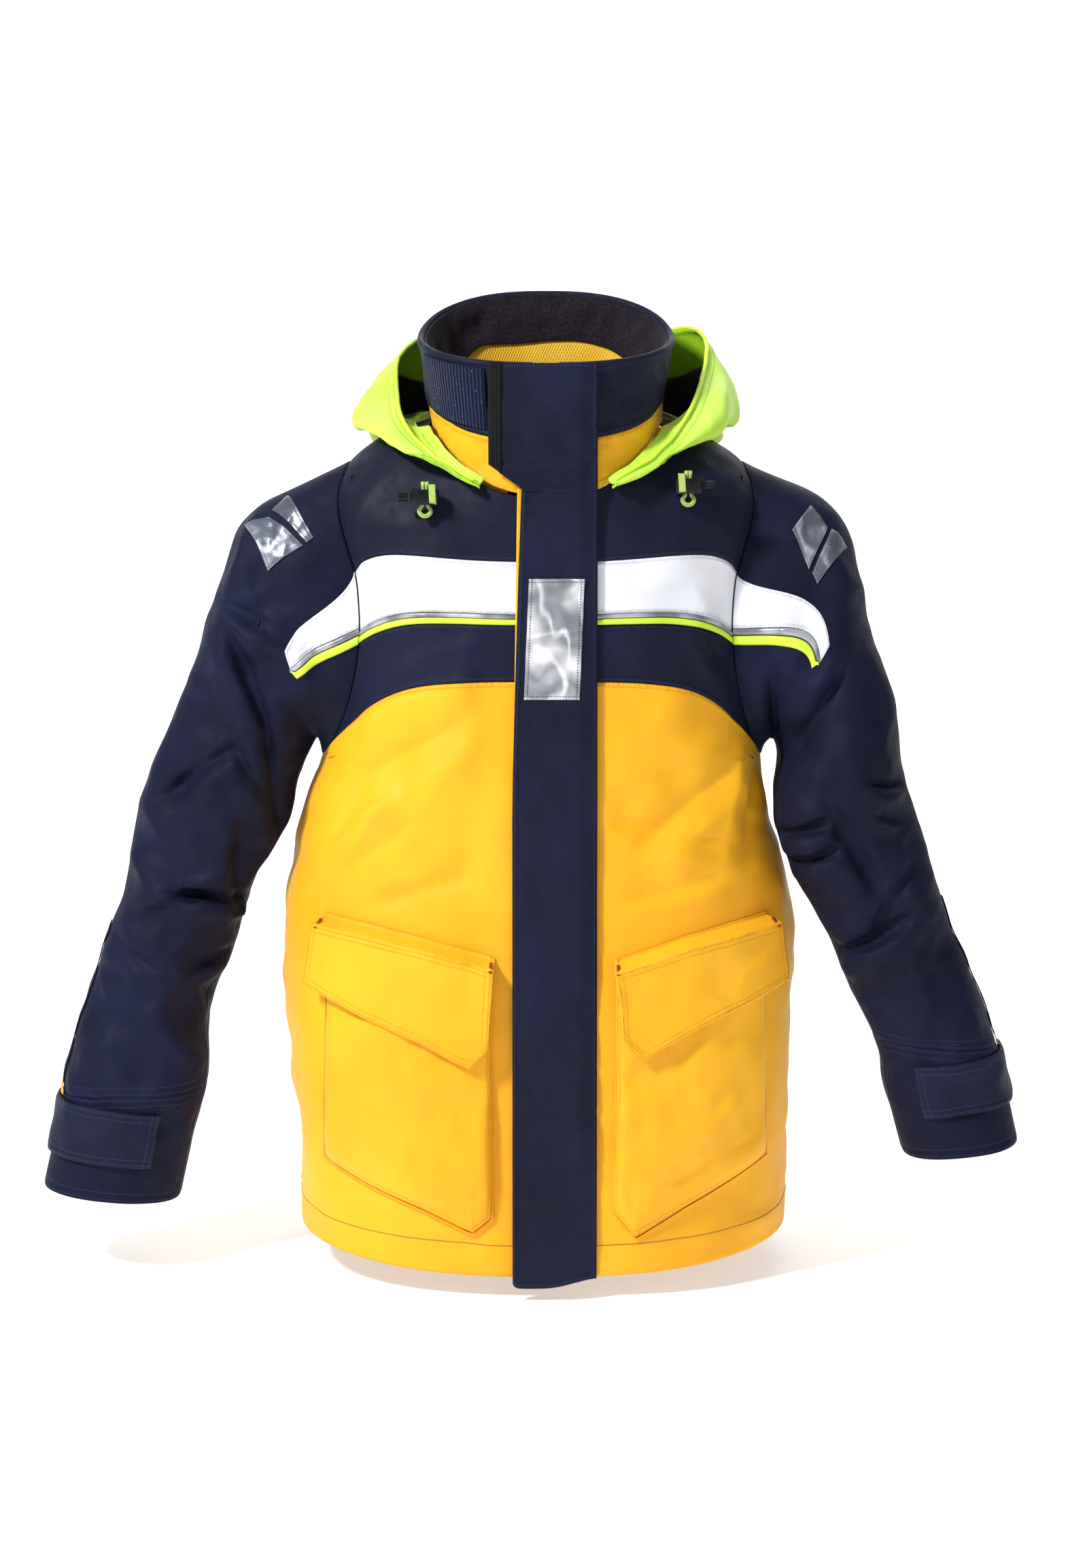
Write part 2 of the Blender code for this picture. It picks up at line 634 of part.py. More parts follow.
def ring_sheet(name, grid, root):
    """A tube of shell fabric, thickened towards its own middle."""
    rows, columns = len(grid), len(grid[0])
    ring = grid[rows // 2]
    middle = sum(ring, Vector()) / columns
    faces = grid_faces(rows, columns, ring=True)
    across = ring[1] - ring[-1]
    up = grid[rows // 2 + 1][0] - grid[rows // 2 - 1][0]
    if across.cross(up).dot(ring[0] - middle) < 0:
        faces = [face[::-1] for face in faces]
    made = add(name, [p for row in grid for p in row], faces, "navy", root)
    thicken = made.modifiers.new("thickness", "SOLIDIFY")
    thicken.thickness = SHELL
    thicken.offset = -1


def on_sleeve(side, phi, along, lift):
    surface = sleeve_surface(side)
    point = surface(phi, along)
    normal = (surface(phi + 0.01, along) - surface(phi - 0.01, along)).cross(
        surface(phi, along + 0.01) - surface(phi, along - 0.01))
    centre = sum((surface(phi + k * math.pi / 2, along) for k in range(4)), Vector()) / 4
    if normal.dot(point - centre) < 0:
        normal = -normal
    return point + normal.normalized() * lift


# The chest band's pointed end on the sleeve: its length, then phi of each edge at the armhole and
# how far each has moved at the point.
BAND_END = {"R": (0.95, (1.10, 0.57), (1.50, 0.33)), "L": (1.45, (1.12, 0.31), (1.50, 0.07))}
# Shoulder reflectors by phi and along: the two ends of the upper edge, then of the lower edge.
REFLECTOR = {
    "R": {"inner": ((0.28, 0.54), (0.84, 0.31), (0.37, 0.71), (0.87, 0.39)),
          "outer": ((0.45, 0.75), (0.89, 0.43), (0.35, 1.03), (1.02, 0.88))},
    "L": {"inner": ((0.43, 0.61), (0.77, 0.44), (0.60, 0.83), (1.06, 0.72)),
          "outer": ((0.57, 0.88), (1.08, 0.77), (0.50, 1.18), (1.15, 0.88))},
}


def sleeve_trim(side, root):
    """The band's tip, the cuff strap, the yellow flash and the two shoulder reflectors."""
    length, (top, top_move), (foot, foot_move) = BAND_END[side]
    grid = []
    for t in steps(0.04, 0.98, 7):
        high, low = top + top_move * t**0.75, foot + foot_move * t
        grid.append([on_sleeve(side, high + (low - high) * k, length * t, 0.0022) for k in (0, 0.5, 1)])
    sheet(f"sleeve_band_{side}", grid, "white", root, 0.0010, outward=(0, -1, 0))

    strap_from, strap_to = -0.20, 2.05
    low, high = (9.55, 8.80) if side == "R" else (9.40, 8.55)
    pivot = on_sleeve(side, strap_from, (low + high) / 2, 0.0030)
    hinge = empty(f"cuff_strap_{side}_hinge", root, pivot - Vector(root["place"]))
    hinge["place"] = list(pivot)
    grid = [[on_sleeve(side, phi, along, 0.0050) for phi in steps(strap_from, strap_to, 12)]
            for along in steps(high, low, 3)]
    sheet(f"cuff_strap_{side}", grid, "navy", hinge, 0.0022, pivot=pivot,
          outward=(SIDE[side] * 0.3, -1, 0))

    seam = seam_along(side, 0.25)
    grid = [[on_sleeve(side, phi, along, 0.0020) for phi in (0.10, 0.10 + 0.22 * (1 - 0.8 * t))]
            for t, along in ((0, seam + 0.02), (1, seam - 0.22))]
    sheet(f"accent_tab_{side}", grid, "yellow", root, 0.0008, outward=(SIDE[side], -1, 0))

    for name, corners in REFLECTOR[side].items():
        upper_start, upper_end, lower_start, lower_end = [Vector(corner) for corner in corners]
        grid = []
        for r in steps(0, 1, 4):
            places = [upper_start.lerp(upper_end, c).lerp(lower_start.lerp(lower_end, c), r) for c in steps(0, 1, 5)]
            grid.append([on_sleeve(side, phi, along, 0.0022) for phi, along in places])
        sheet(f"shoulder_reflector_{name}_{side}", grid, "shoulder_film", root, 0.0008,
              outward=(SIDE[side], -0.6, 0.6))


# ---------------------------------------------------------------- hood, cords and cord locks

def hood(root):
    turns = steps(0.44, 2 * math.pi - 0.44, 33)
    outside = [[hood_surface(t, w) for t in turns] for w in steps(0.02, 0.985, 11)]
    sheet("hood_shell", outside, "lime", root, 0.0010, outward=(0, 1, -1))
    inner_turns = steps(1.12, 2 * math.pi - 1.12, 25)
    inside = [[lifted(hood_surface, t, w, -0.0045) for t in inner_turns] for w in steps(0.18, 0.86, 8)]
    sheet("hood_lining", inside, "navy", root, 0.0010, outward=(0, 1, -1))
    tube("hood_rim", [hood_surface(t, 1.0) + Vector((0, 0, 0.0024)) for t in turns], 0.0022, "lime", root)


def tube(name, path, radius, colour, parent, pivot=(0, 0, 0)):
    """A round cord or edge binding swept along a path, its ends closed."""
    curve = bpy.data.curves.new(name, "CURVE")
    curve.dimensions = "3D"
    curve.bevel_depth = radius
    curve.bevel_resolution = 2
    curve.use_fill_caps = True
    line = curve.splines.new("POLY")
    line.points.add(len(path) - 1)
    for point, place in zip(line.points, path):
        point.co = (*(place - Vector(pivot)), 1.0)
    return attach(bpy.data.objects.new(name, curve), colour, parent, pivot)


LOCK_PLACE = {"R": (-0.1020, 0.7075), "L": (0.1200, 0.7055)}
LOCK_HALF, LOCK_RADIUS = 0.0125, 0.0068
CORD = 0.0013  # radius
CORD_HOLE = 0.0034
BUTTON_HALF, BUTTON_RADIUS, BUTTON_TRAVEL = 0.0040, 0.0045, 0.0027


def cord_lock(side, root):
    """A barrel lock below the hood's edge, its sprung button, and the elastic cord doubled through it."""
    sign = SIDE[side]
    x, height = LOCK_PLACE[side]
    place = front_point(x, height, 0.0160)
    add_shape(f"cord_lock_{side}", holed_barrel(place, 12), "black_plastic", root, place)
    button = place + Vector((sign * (LOCK_HALF + BUTTON_TRAVEL + BUTTON_HALF), 0, 0))
    shape = bmesh.new()
    bmesh.ops.create_cone(shape, cap_ends=True, segments=12, radius1=BUTTON_RADIUS, radius2=BUTTON_RADIUS,
                          depth=2 * BUTTON_HALF, matrix=Matrix.Translation(button) @ Matrix.Rotation(math.pi / 2, 4, "Y"))
    add_shape(f"cord_lock_button_{side}", shape, "black_plastic", root, button)
    up = Vector((0, 0.0020, 0.0125))
    strand = Vector((0.0016, 0, 0))
    down = Vector((0, 0, -1))
    path = [place - strand + up, place - strand - down * 0.006, place - strand + down * 0.006]
    path += [place + down * (0.012 + 0.0050 * math.sin(a)) - Vector((0.0050 * math.cos(a), 0, 0))
             for a in steps(0, math.pi, 5)]
    path += [place + strand + down * 0.006, place + strand - down * 0.006, place + strand + up]
    tube(f"hood_cord_{side}", path, CORD, "lime", root)


def holed_barrel(place, sides):
    """A rounded block with an upright hole for the cord: rings down the outside and up the hole."""
    top, flank = LOCK_RADIUS, LOCK_RADIUS * 0.6
    rings = [(0.86, top), (1.0, flank), (1.0, -flank), (0.86, -top), (None, -top), (None, top)]
    points = []
    for scale, z in rings:
        for k in range(sides):
            c, s = math.cos(2 * math.pi * k / sides), math.sin(2 * math.pi * k / sides)
            if scale is None:
                x, y = CORD_HOLE * c, CORD_HOLE * s
            else:
                x = LOCK_HALF * scale * math.copysign(abs(c) ** 0.6, c)
                y = LOCK_RADIUS * scale * math.copysign(abs(s) ** 0.6, s)
            points.append(place + Vector((x, y, z)))
    faces = grid_faces(len(rings), sides, ring=True)
    last = (len(rings) - 1) * sides
    faces += [(last + k, last + (k + 1) % sides, (k + 1) % sides, k) for k in range(sides)]
    shape = bmesh.new()
    corners = [shape.verts.new(point) for point in points]
    for face in faces:
        shape.faces.new([corners[k] for k in face])
    return shape


clear_scene()
collection = new_collection(JACKET)
root = empty(JACKET + "_frame", None, [-c for c in HANG_LOOP])
root["place"] = [0, 0, 0]
body_fronts(root)
body_back(root)
collar(root)
hang_loop(root)
zip_parts(root)
storm_flap(root)
for side in SIDE:
    pocket(side, root)
    sleeve(side, root)
    sleeve_trim(side, root)
    cord_lock(side, root)
hood(root)
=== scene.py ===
"""The looks of a foul weather jacket, built around its CAD frame.

Lengths are metres. Heights are measured as in the CAD source, from 40 mm under the hem; every piece is
moved so that the hang loop inside the neck is at the origin. The wearer's right (_R) is at -X.
"""

import math

import bmesh
import bpy
import numpy as np
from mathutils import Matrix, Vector
from mathutils.bvhtree import BVHTree


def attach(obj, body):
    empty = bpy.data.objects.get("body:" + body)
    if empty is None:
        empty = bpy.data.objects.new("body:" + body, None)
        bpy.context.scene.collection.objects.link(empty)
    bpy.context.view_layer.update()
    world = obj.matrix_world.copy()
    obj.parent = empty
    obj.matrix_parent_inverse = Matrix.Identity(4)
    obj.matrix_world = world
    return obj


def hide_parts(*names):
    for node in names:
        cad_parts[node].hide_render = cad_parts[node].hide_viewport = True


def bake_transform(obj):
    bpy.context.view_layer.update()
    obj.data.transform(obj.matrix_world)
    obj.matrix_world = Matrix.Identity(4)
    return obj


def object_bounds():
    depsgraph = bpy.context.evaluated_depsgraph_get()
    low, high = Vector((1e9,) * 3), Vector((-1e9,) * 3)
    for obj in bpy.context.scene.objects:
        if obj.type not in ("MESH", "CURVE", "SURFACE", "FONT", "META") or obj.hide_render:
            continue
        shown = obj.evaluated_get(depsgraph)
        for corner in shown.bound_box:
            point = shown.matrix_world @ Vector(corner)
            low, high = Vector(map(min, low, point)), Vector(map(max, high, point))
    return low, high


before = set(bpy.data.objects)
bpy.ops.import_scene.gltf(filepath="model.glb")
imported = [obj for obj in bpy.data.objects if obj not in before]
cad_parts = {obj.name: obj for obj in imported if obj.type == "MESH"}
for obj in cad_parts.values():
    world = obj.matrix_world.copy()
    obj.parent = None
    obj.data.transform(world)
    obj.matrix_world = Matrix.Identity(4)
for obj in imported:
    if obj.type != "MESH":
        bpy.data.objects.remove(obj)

CAD_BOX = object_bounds()

# ---------------------------------------------------------------- the jacket's driving sizes

HEM, NECK, COLLAR_TOP = 0.040, 0.735, 0.8505
ZIP_LEAN, ZIP_FOOT_Y = 0.0684, -0.166
FRONT_EDGE = 0.0105
FLAP_LEFT, FLAP_SEWN, FLAP_FOOT, FLAP_TOP = -0.030, 0.0455, 0.031, 0.7430
TAB_LEFT, TAB_SLANT, BINDING = -0.0505, 0.0205, 0.0122
FLAP_NARROWS, FLAP_NARROWS_FROM = 0.0085, 0.45
ROUND = 0.8
HANG_LOOP = np.array((0.0, 0.0730, 0.815))
SIDE = {"R": -1.0, "L": 1.0}
FORWARD = np.array((0, -1, 0))
CLOTH, LINING, LINING_DEPTH = 0.0014, 0.0008, 0.0068
BACK_SEAM = 0.585

# height at centre front, half width at -X and at +X, side height, back depth, back height
BODY = np.array([
    (HEM, 0.228, 0.223, 0.056, 0.135, 0.044),
    (0.150, 0.234, 0.226, 0.158, 0.138, 0.150),
    (0.300, 0.238, 0.228, 0.303, 0.135, 0.305),
    (0.380, 0.235, 0.221, 0.382, 0.130, 0.390),
    (0.440, 0.225, 0.206, 0.440, 0.126, 0.455),
    (0.500, 0.203, 0.196, 0.497, 0.125, 0.520),
    (0.573, 0.190, 0.189, 0.585, 0.128, 0.600),
    (0.632, 0.187, 0.187, 0.660, 0.127, 0.670),
    (0.684, 0.188, 0.188, 0.744, 0.119, 0.744),
    (0.712, 0.150, 0.150, 0.779, 0.103, 0.784),
    (NECK, 0.104, 0.104, 0.793, 0.086, 0.812),
])
ARM_MID, ARM_HALF, ARM_TURN = 0.5935, 0.0970, 0.52
ARM_LAP = 1.030  # the sleeve head laps this far over the edge of the armhole

# rise, front height, half width, side height, back depth, back height
COLLAR = np.array([
    (0.00, NECK + 0.0016, 0.104, 0.793, 0.086, 0.812),
    (0.43, 0.7855, 0.107, 0.824, 0.088, 0.850),
    (0.80, 0.8290, 0.112, 0.853, 0.094, 0.888),
    (1.00, COLLAR_TOP, 0.1145, 0.868, 0.096, 0.905),
])
COLLAR_SEAM, COLLAR_SEAM_DIP, COLLAR_RIM = 0.43, 0.13, 0.985

# outer edge x, z, inner edge x, z, centre y, half depth
SLEEVE = {
    "R": np.array([
        (-0.2700, 0.7080, -0.2090, 0.5050, 0.000, 0.0840),
        (-0.3020, 0.6300, -0.2170, 0.4930, 0.000, 0.0800),
        (-0.3400, 0.5290, -0.2250, 0.4700, -0.002, 0.0730),
        (-0.3680, 0.4650, -0.2370, 0.4300, -0.004, 0.0680),
        (-0.3830, 0.4000, -0.2620, 0.3880, -0.008, 0.0640),
        (-0.3959, 0.3440, -0.2839, 0.3219, -0.014, 0.0620),
        (-0.4190, 0.2773, -0.3080, 0.2600, -0.022, 0.0600),
        (-0.4384, 0.2176, -0.3120, 0.2000, -0.032, 0.0595),
        (-0.4480, 0.1680, -0.3220, 0.1560, -0.040, 0.0580),
        (-0.4630, 0.0980, -0.3370, 0.0860, -0.052, 0.0560),
    ]),
    "L": np.array([
        (0.2680, 0.7080, 0.2040, 0.5050, 0.000, 0.0840),
        (0.2940, 0.6150, 0.2090, 0.4900, -0.014, 0.0800),
        (0.3150, 0.5434, 0.2070, 0.4650, -0.034, 0.0740),
        (0.3260, 0.4762, 0.2065, 0.4324, -0.050, 0.0700),
        (0.3420, 0.4177, 0.2240, 0.3900, -0.050, 0.0650),
        (0.3630, 0.3550, 0.2520, 0.3400, -0.046, 0.0620),
        (0.3870, 0.3000, 0.2770, 0.2850, -0.047, 0.0600),
        (0.4060, 0.2520, 0.2990, 0.2400, -0.050, 0.0590),
        (0.4190, 0.2050, 0.3110, 0.1920, -0.054, 0.0580),
        (0.4330, 0.1430, 0.3270, 0.1310, -0.064, 0.0560),
    ]),
}
CUFF_SEAM = {"R": (7.75, 7.25), "L": (7.45, 7.05)}

# turn, body height and lift of the lowest fold, rim reach, rim height
HOOD = np.array([
    (0.42, 0.7310, 0.0060, 0.007, 0.7500),
    (0.80, 0.7220, 0.0110, 0.013, 0.7740),
    (1.15, 0.7140, 0.0150, 0.021, 0.8050),
    (1.57, 0.7065, 0.0180, 0.028, 0.8400),
    (2.05, 0.7000, 0.0240, 0.036, 0.8680),
    (2.60, 0.6740, 0.0340, 0.048, 0.8680),
    (math.pi, 0.6550, 0.0400, 0.056, 0.8600),
])
HOOD_DROP, HOOD_END = 0.016, 0.44


# ---------------------------------------------------------------- surfaces, as arrays

def through(table, at):
    """The rows of a table joined by a smooth curve, read at each value of its first column."""
    knots, rows = table[:, 0], table[:, 1:]
    slopes = np.gradient(rows, knots, axis=0)
    at = np.clip(np.asarray(at, float), knots[0], knots[-1])
    i = np.clip(np.searchsorted(knots, at, side="right") - 1, 0, len(knots) - 2)
    span = (knots[i + 1] - knots[i])[..., None]
    return between((at - knots[i])[..., None] / span, span, rows[i], slopes[i], rows[i + 1], slopes[i + 1])


def between(t, span, start, start_slope, end, end_slope):
    """The cubic that leaves start and reaches end with the given slopes."""
    return ((2 * t**3 - 3 * t**2 + 1) * start + (t**3 - 2 * t**2 + t) * span * start_slope
            + (3 * t**2 - 2 * t**3) * end + (t**3 - t**2) * span * end_slope)


def zip_y(z):
    """The depth of centre front: it leans back towards the neck."""
    return ZIP_FOOT_Y + ZIP_LEAN * (z - HEM)


def signed_power(value, power):
    return np.sign(value) * np.abs(value) ** power


def section(turn, front_z, minus, plus, side_z, back_y, back_z, slope=2.0):
    """Points of squared oval sections; turn 0 is centre front and grows towards +X."""
    s, c = np.sin(turn), np.cos(turn)
    x = signed_power(s, ROUND) * np.where(s > 0, plus, minus)
    y = -signed_power(c, ROUND) * np.where(c > 0, -zip_y(front_z), back_y)
    z = side_z + (np.where(c > 0, front_z, back_z) - side_z) * np.abs(c) ** slope
    return np.stack([x, y, z], -1)


def plain_body(turn, height):
    turn, height = np.broadcast_arrays(np.asarray(turn, float), np.asarray(height, float))
    minus, plus, side_z, back_y, back_z = np.moveaxis(through(BODY, height), -1, 0)
    return section(turn, height, minus, plus, side_z, back_y, back_z)


def plain_collar(turn, rise):
    turn, rise = np.broadcast_arrays(np.asarray(turn, float), np.asarray(rise, float))
    front_z, half, side_z, back_y, back_z = np.moveaxis(through(COLLAR, rise), -1, 0)
    return section(turn, front_z, half, half, side_z, back_y, back_z, 2.0 - 0.9 * np.minimum(1.0, rise))


def as_column(start, end, count):
    return np.linspace(start, end, count)[:, None]


def as_row(start, end, count):
    return np.linspace(start, end, count)[None, :]


def on_plane(x, z):
    """Places on the flat front, to read a random field at."""
    return np.stack(np.broadcast_arrays(x, 0 * x, z), -1)


def unit(v):
    return v / np.maximum(np.linalg.norm(v, axis=-1, keepdims=True), 1e-12)


def normals(surface, a, b, step=2e-3):
    return unit(np.cross(surface(a + step, b) - surface(a - step, b),
                         surface(a, b + step) - surface(a, b - step)))


def arm_turn(height):
    """The turn at which a front panel meets the armhole."""
    rise = (height - ARM_MID) / ARM_HALF
    return math.pi / 2 - ARM_TURN * np.sqrt(np.maximum(0.0, 1 - rise * rise))


def front_turn(x, z):
    """The turn that puts a point of the front at this x."""
    table = through(BODY, z)
    half = np.where(np.asarray(x) > 0, table[..., 1], table[..., 0])
    return np.sign(x) * np.arcsin(np.minimum(1.0, np.abs(x) / half) ** (1 / ROUND))


def from_axis(points):
    return points * (1, 1, 0)


class Grid:
    """A surface kept as a regular grid of points over two coordinates and read smoothly between them."""

    def __init__(self, first, second, points, wraps=False):
        self.first, self.second, self.points, self.wraps = first, second, points, wraps

    def __call__(self, a, b):
        a, b = np.broadcast_arrays(np.asarray(a, float), np.asarray(b, float))
        fa = self.place(a, self.first, self.wraps)
        fb = self.place(b, self.second, False)
        return self.cubic(fa, fb)

    @staticmethod
    def place(value, knots, wraps):
        if wraps:
            step = knots[1] - knots[0]
            return ((value - knots[0]) / step) % len(knots)
        return np.interp(value, knots, np.arange(len(knots)))

    def cubic(self, fa, fb):
        """Catmull-Rom through the sixteen points around each place."""
        rows, columns = self.points.shape[:2]
        ia, ib = np.floor(fa).astype(int), np.floor(fb).astype(int)
        ta, tb = (fa - ia)[..., None], (fb - ib)[..., None]
        wa, wb = self.weights(ta), self.weights(tb)
        total = 0
        for m in range(4):
            r = np.clip(ib + m - 1, 0, rows - 1)
            line = 0
            for n in range(4):
                k = ia + n - 1
                k = k % columns if self.wraps else np.clip(k, 0, columns - 1)
                line = line + self.points[r, k] * wa[n]
            total = total + line * wb[m]
        return total

    @staticmethod
    def weights(t):
        return (
            -0.5 * t + t**2 - 0.5 * t**3,
            1 - 2.5 * t**2 + 1.5 * t**3,
            0.5 * t + 2 * t**2 - 1.5 * t**3,
            -0.5 * t**2 + 0.5 * t**3,
        )


def lifted(surface, a, b, lift):
    """Points of a surface moved out along its normals."""
    return surface(a, b) + normals(surface, a, b) * np.asarray(lift)[..., None]


def centre_point(x, z, lift):
    """Points near the flat centre front, lifted square to the zip."""
    lean = math.hypot(1, ZIP_LEAN)
    x, z, lift = np.broadcast_arrays(np.asarray(x, float), z, lift)
    return np.stack([x, zip_y(z) - lift / lean, z + lift * ZIP_LEAN / lean], -1)


def smoothstep(low, high, value):
    t = np.clip((value - low) / (high - low), 0, 1)
    return t * t * (3 - 2 * t)


# ---------------------------------------------------------------- camera, first

def camera():
    """A level-headed studio view: the lens a little above the collar, looking slightly down."""
    data = bpy.data.cameras.new("camera")
    data.lens = 84.46
    data.sensor_width = 36.0
    made = bpy.data.objects.new("camera", data)
    tilt, reach, target = math.radians(9.6), 3.39, 0.46
    spot = Vector((-0.0031, -reach * math.cos(tilt), target + reach * math.sin(tilt)))
    made.location = spot - Vector(HANG_LOOP)
    made.rotation_euler = (math.pi / 2 - tilt, 0, 0)
    bpy.context.scene.collection.objects.link(made)
    bpy.context.scene.camera = made


camera()

# ---------------------------------------------------------------- cloth, laid out and settled

def ripple(points, wavelength, seed, count=14):
    """A smooth random field about one unit high, made of waves that run in all directions."""
    draw = np.random.default_rng(seed)
    total = np.zeros(points.shape[:-1])
    for _ in range(count):
        direction = unit(draw.normal(size=3))
        length = wavelength * draw.uniform(0.6, 1.6)
        phase = draw.uniform(0, 2 * math.pi)
        total += np.sin(points @ direction * (2 * math.pi / length) + phase)
    return total / math.sqrt(count / 2)


def grid_normals(points, away):
    """Unit normals of a grid of points, on the side that away points to."""
    n = unit(np.cross(np.gradient(points, axis=1), np.gradient(points, axis=0)))
    return n if np.sum(n * away) > 0 else -n


def fold(points, facing, line, width, depth):
    """How far a pinched fold moves each point: a valley along a line, with a ridge beside it."""
    (x0, z0), (x1, z1) = line
    start, along = np.array((x0, z0)), np.array((x1 - x0, z1 - z0))
    flat = points[..., (0, 2)] - start
    t = flat @ along / (along @ along)
    side = (flat[..., 0] * along[1] - flat[..., 1] * along[0]) / math.hypot(*along)
    ends = smoothstep(-0.25, 0.25, t) * (1 - smoothstep(0.75, 1.25, t))
    crisp = np.sqrt((side / width) ** 2 + 0.02)
    valley = np.exp(-1.3 * crisp)
    ridge = np.exp(-1.3 * np.sqrt(((side - 1.9 * width) / (1.3 * width)) ** 2 + 0.04))
    return depth * ends * facing * (0.85 * ridge - valley)


def facets(points, wavelength, seed, sharp=0.03):
    """A field of flat faces that meet in creases, as crumpled cloth has."""
    return 0.7 - np.sqrt(ripple(points, wavelength, seed, 7) ** 2 + sharp)


def settle(points, wraps, hold, grow, frames, bending=2.0):
    """Cloth simulation of a grid of points: a little too much cloth, held where it is sewn down."""
    rows, columns = points.shape[:2]
    mesh = bpy.data.meshes.new("settling")
    mesh.from_pydata([tuple(p) for p in points.reshape(-1, 3)], [], grid_quads(rows, columns, wraps))
    cloth_object = bpy.data.objects.new("settling", mesh)
    bpy.context.scene.collection.objects.link(cloth_object)
    held = cloth_object.vertex_groups.new(name="held")
    loose = cloth_object.vertex_groups.new(name="loose")
    tenths = np.round(hold.reshape(-1), 1)
    for share in np.unique(tenths):
        where = np.nonzero(tenths == share)[0].tolist()
        held.add(where, float(share), "REPLACE")
        loose.add(where, float(1 - share), "REPLACE")
    cloth = cloth_object.modifiers.new("cloth", "CLOTH")
    settings = cloth.settings
    settings.quality = 6
    settings.mass = 0.25
    settings.tension_stiffness = settings.compression_stiffness = 25
    settings.shear_stiffness = 8
    settings.bending_stiffness = bending
    settings.air_damping = 3
    settings.vertex_group_mass = "held"
    settings.pin_stiffness = 3
    settings.vertex_group_shrink = "loose"
    settings.shrink_max = -grow
    settings.effector_weights.gravity = 0.0
    cloth.point_cache.frame_end = frames
    scene = bpy.context.scene
    for frame_number in range(1, frames + 1):
        scene.frame_set(frame_number)
    result = cloth_object.evaluated_get(bpy.context.evaluated_depsgraph_get()).to_mesh()
    settled = np.empty(rows * columns * 3, np.float32)
    result.vertices.foreach_get("co", settled)
    scene.frame_set(1)
    bpy.data.objects.remove(cloth_object)
    return settled.astype(float).reshape(rows, columns, 3)


def grid_quads(rows, columns, wraps=False):
    """The faces of a grid of points, as a list of four corners each."""
    r, c = np.meshgrid(np.arange(rows - 1), np.arange(columns if wraps else columns - 1), indexing="ij")
    d = (c + 1) % columns
    quads = np.stack([r * columns + c, r * columns + d, (r + 1) * columns + d, (r + 1) * columns + c], -1)
    return quads.reshape(-1, 4).tolist()


# where the front body and sleeves fold: a line in x and height, its width and its depth
BODY_FOLDS = [
    (((-0.182, 0.472), (-0.069, 0.541)), 0.016, 0.0062),
    (((-0.194, 0.418), (-0.164, 0.474)), 0.010, 0.0060),
    (((-0.159, 0.600), (-0.182, 0.540)), 0.009, 0.0045),
    (((-0.120, 0.445), (-0.185, 0.395)), 0.014, 0.0035),
    (((-0.070, 0.400), (-0.150, 0.372)), 0.008, 0.0028),
    (((0.058, 0.451), (0.163, 0.423)), 0.010, 0.0048),
    (((0.090, 0.432), (0.168, 0.492)), 0.013, 0.0060),
    (((0.199, 0.534), (0.181, 0.418)), 0.010, 0.0060),
    (((0.140, 0.616), (0.159, 0.579)), 0.008, 0.0050),
    (((0.170, 0.600), (0.182, 0.545)), 0.009, 0.0050),
    (((0.065, 0.376), (0.150, 0.395)), 0.007, 0.0026),
]
SLEEVE_FOLDS = {
    "R": [
        (((-0.288, 0.634), (-0.239, 0.609)), 0.008, 0.0060),
        (((-0.283, 0.610), (-0.252, 0.527)), 0.009, 0.0075),
        (((-0.252, 0.527), (-0.242, 0.415)), 0.009, 0.0070),
        (((-0.354, 0.455), (-0.280, 0.508)), 0.012, 0.0075),
        (((-0.280, 0.508), (-0.252, 0.455)), 0.009, 0.0050),
        (((-0.335, 0.373), (-0.262, 0.358)), 0.007, 0.0110),
        (((-0.370, 0.358), (-0.305, 0.386)), 0.010, -0.0060),
        (((-0.277, 0.427), (-0.283, 0.338)), 0.007, 0.0060),
        (((-0.320, 0.303), (-0.262, 0.322)), 0.008, 0.0065),
        (((-0.312, 0.279), (-0.294, 0.250)), 0.006, 0.0040),
        (((-0.400, 0.330), (-0.350, 0.300)), 0.010, 0.0040),
    ],
    "L": [
        (((0.202, 0.570), (0.209, 0.510)), 0.010, 0.0080),
        (((0.264, 0.575), (0.206, 0.480)), 0.012, 0.0085),
        (((0.287, 0.480), (0.318, 0.474)), 0.006, 0.0060),
        (((0.296, 0.452), (0.318, 0.444)), 0.005, 0.0045),
        (((0.204, 0.424), (0.252, 0.444)), 0.008, 0.0095),
        (((0.214, 0.400), (0.262, 0.420)), 0.007, 0.0075),
        (((0.251, 0.463), (0.298, 0.382)), 0.010, 0.0060),
        (((0.262, 0.316), (0.325, 0.354)), 0.010, 0.0090),
        (((0.285, 0.312), (0.280, 0.270)), 0.007, 0.0050),
        (((0.330, 0.400), (0.300, 0.350)), 0.009, 0.0040),
    ],
}


def in_arm(turn, height, margin):
    """1 inside the armhole, fading to 0 this far outside it."""
    side = np.abs(((turn + math.pi) % (2 * math.pi)) - math.pi)
    out = np.hypot((side - math.pi / 2) / ARM_TURN, (height - ARM_MID) / ARM_HALF)
    return 1 - smoothstep(1.0, 1.0 + margin, out)


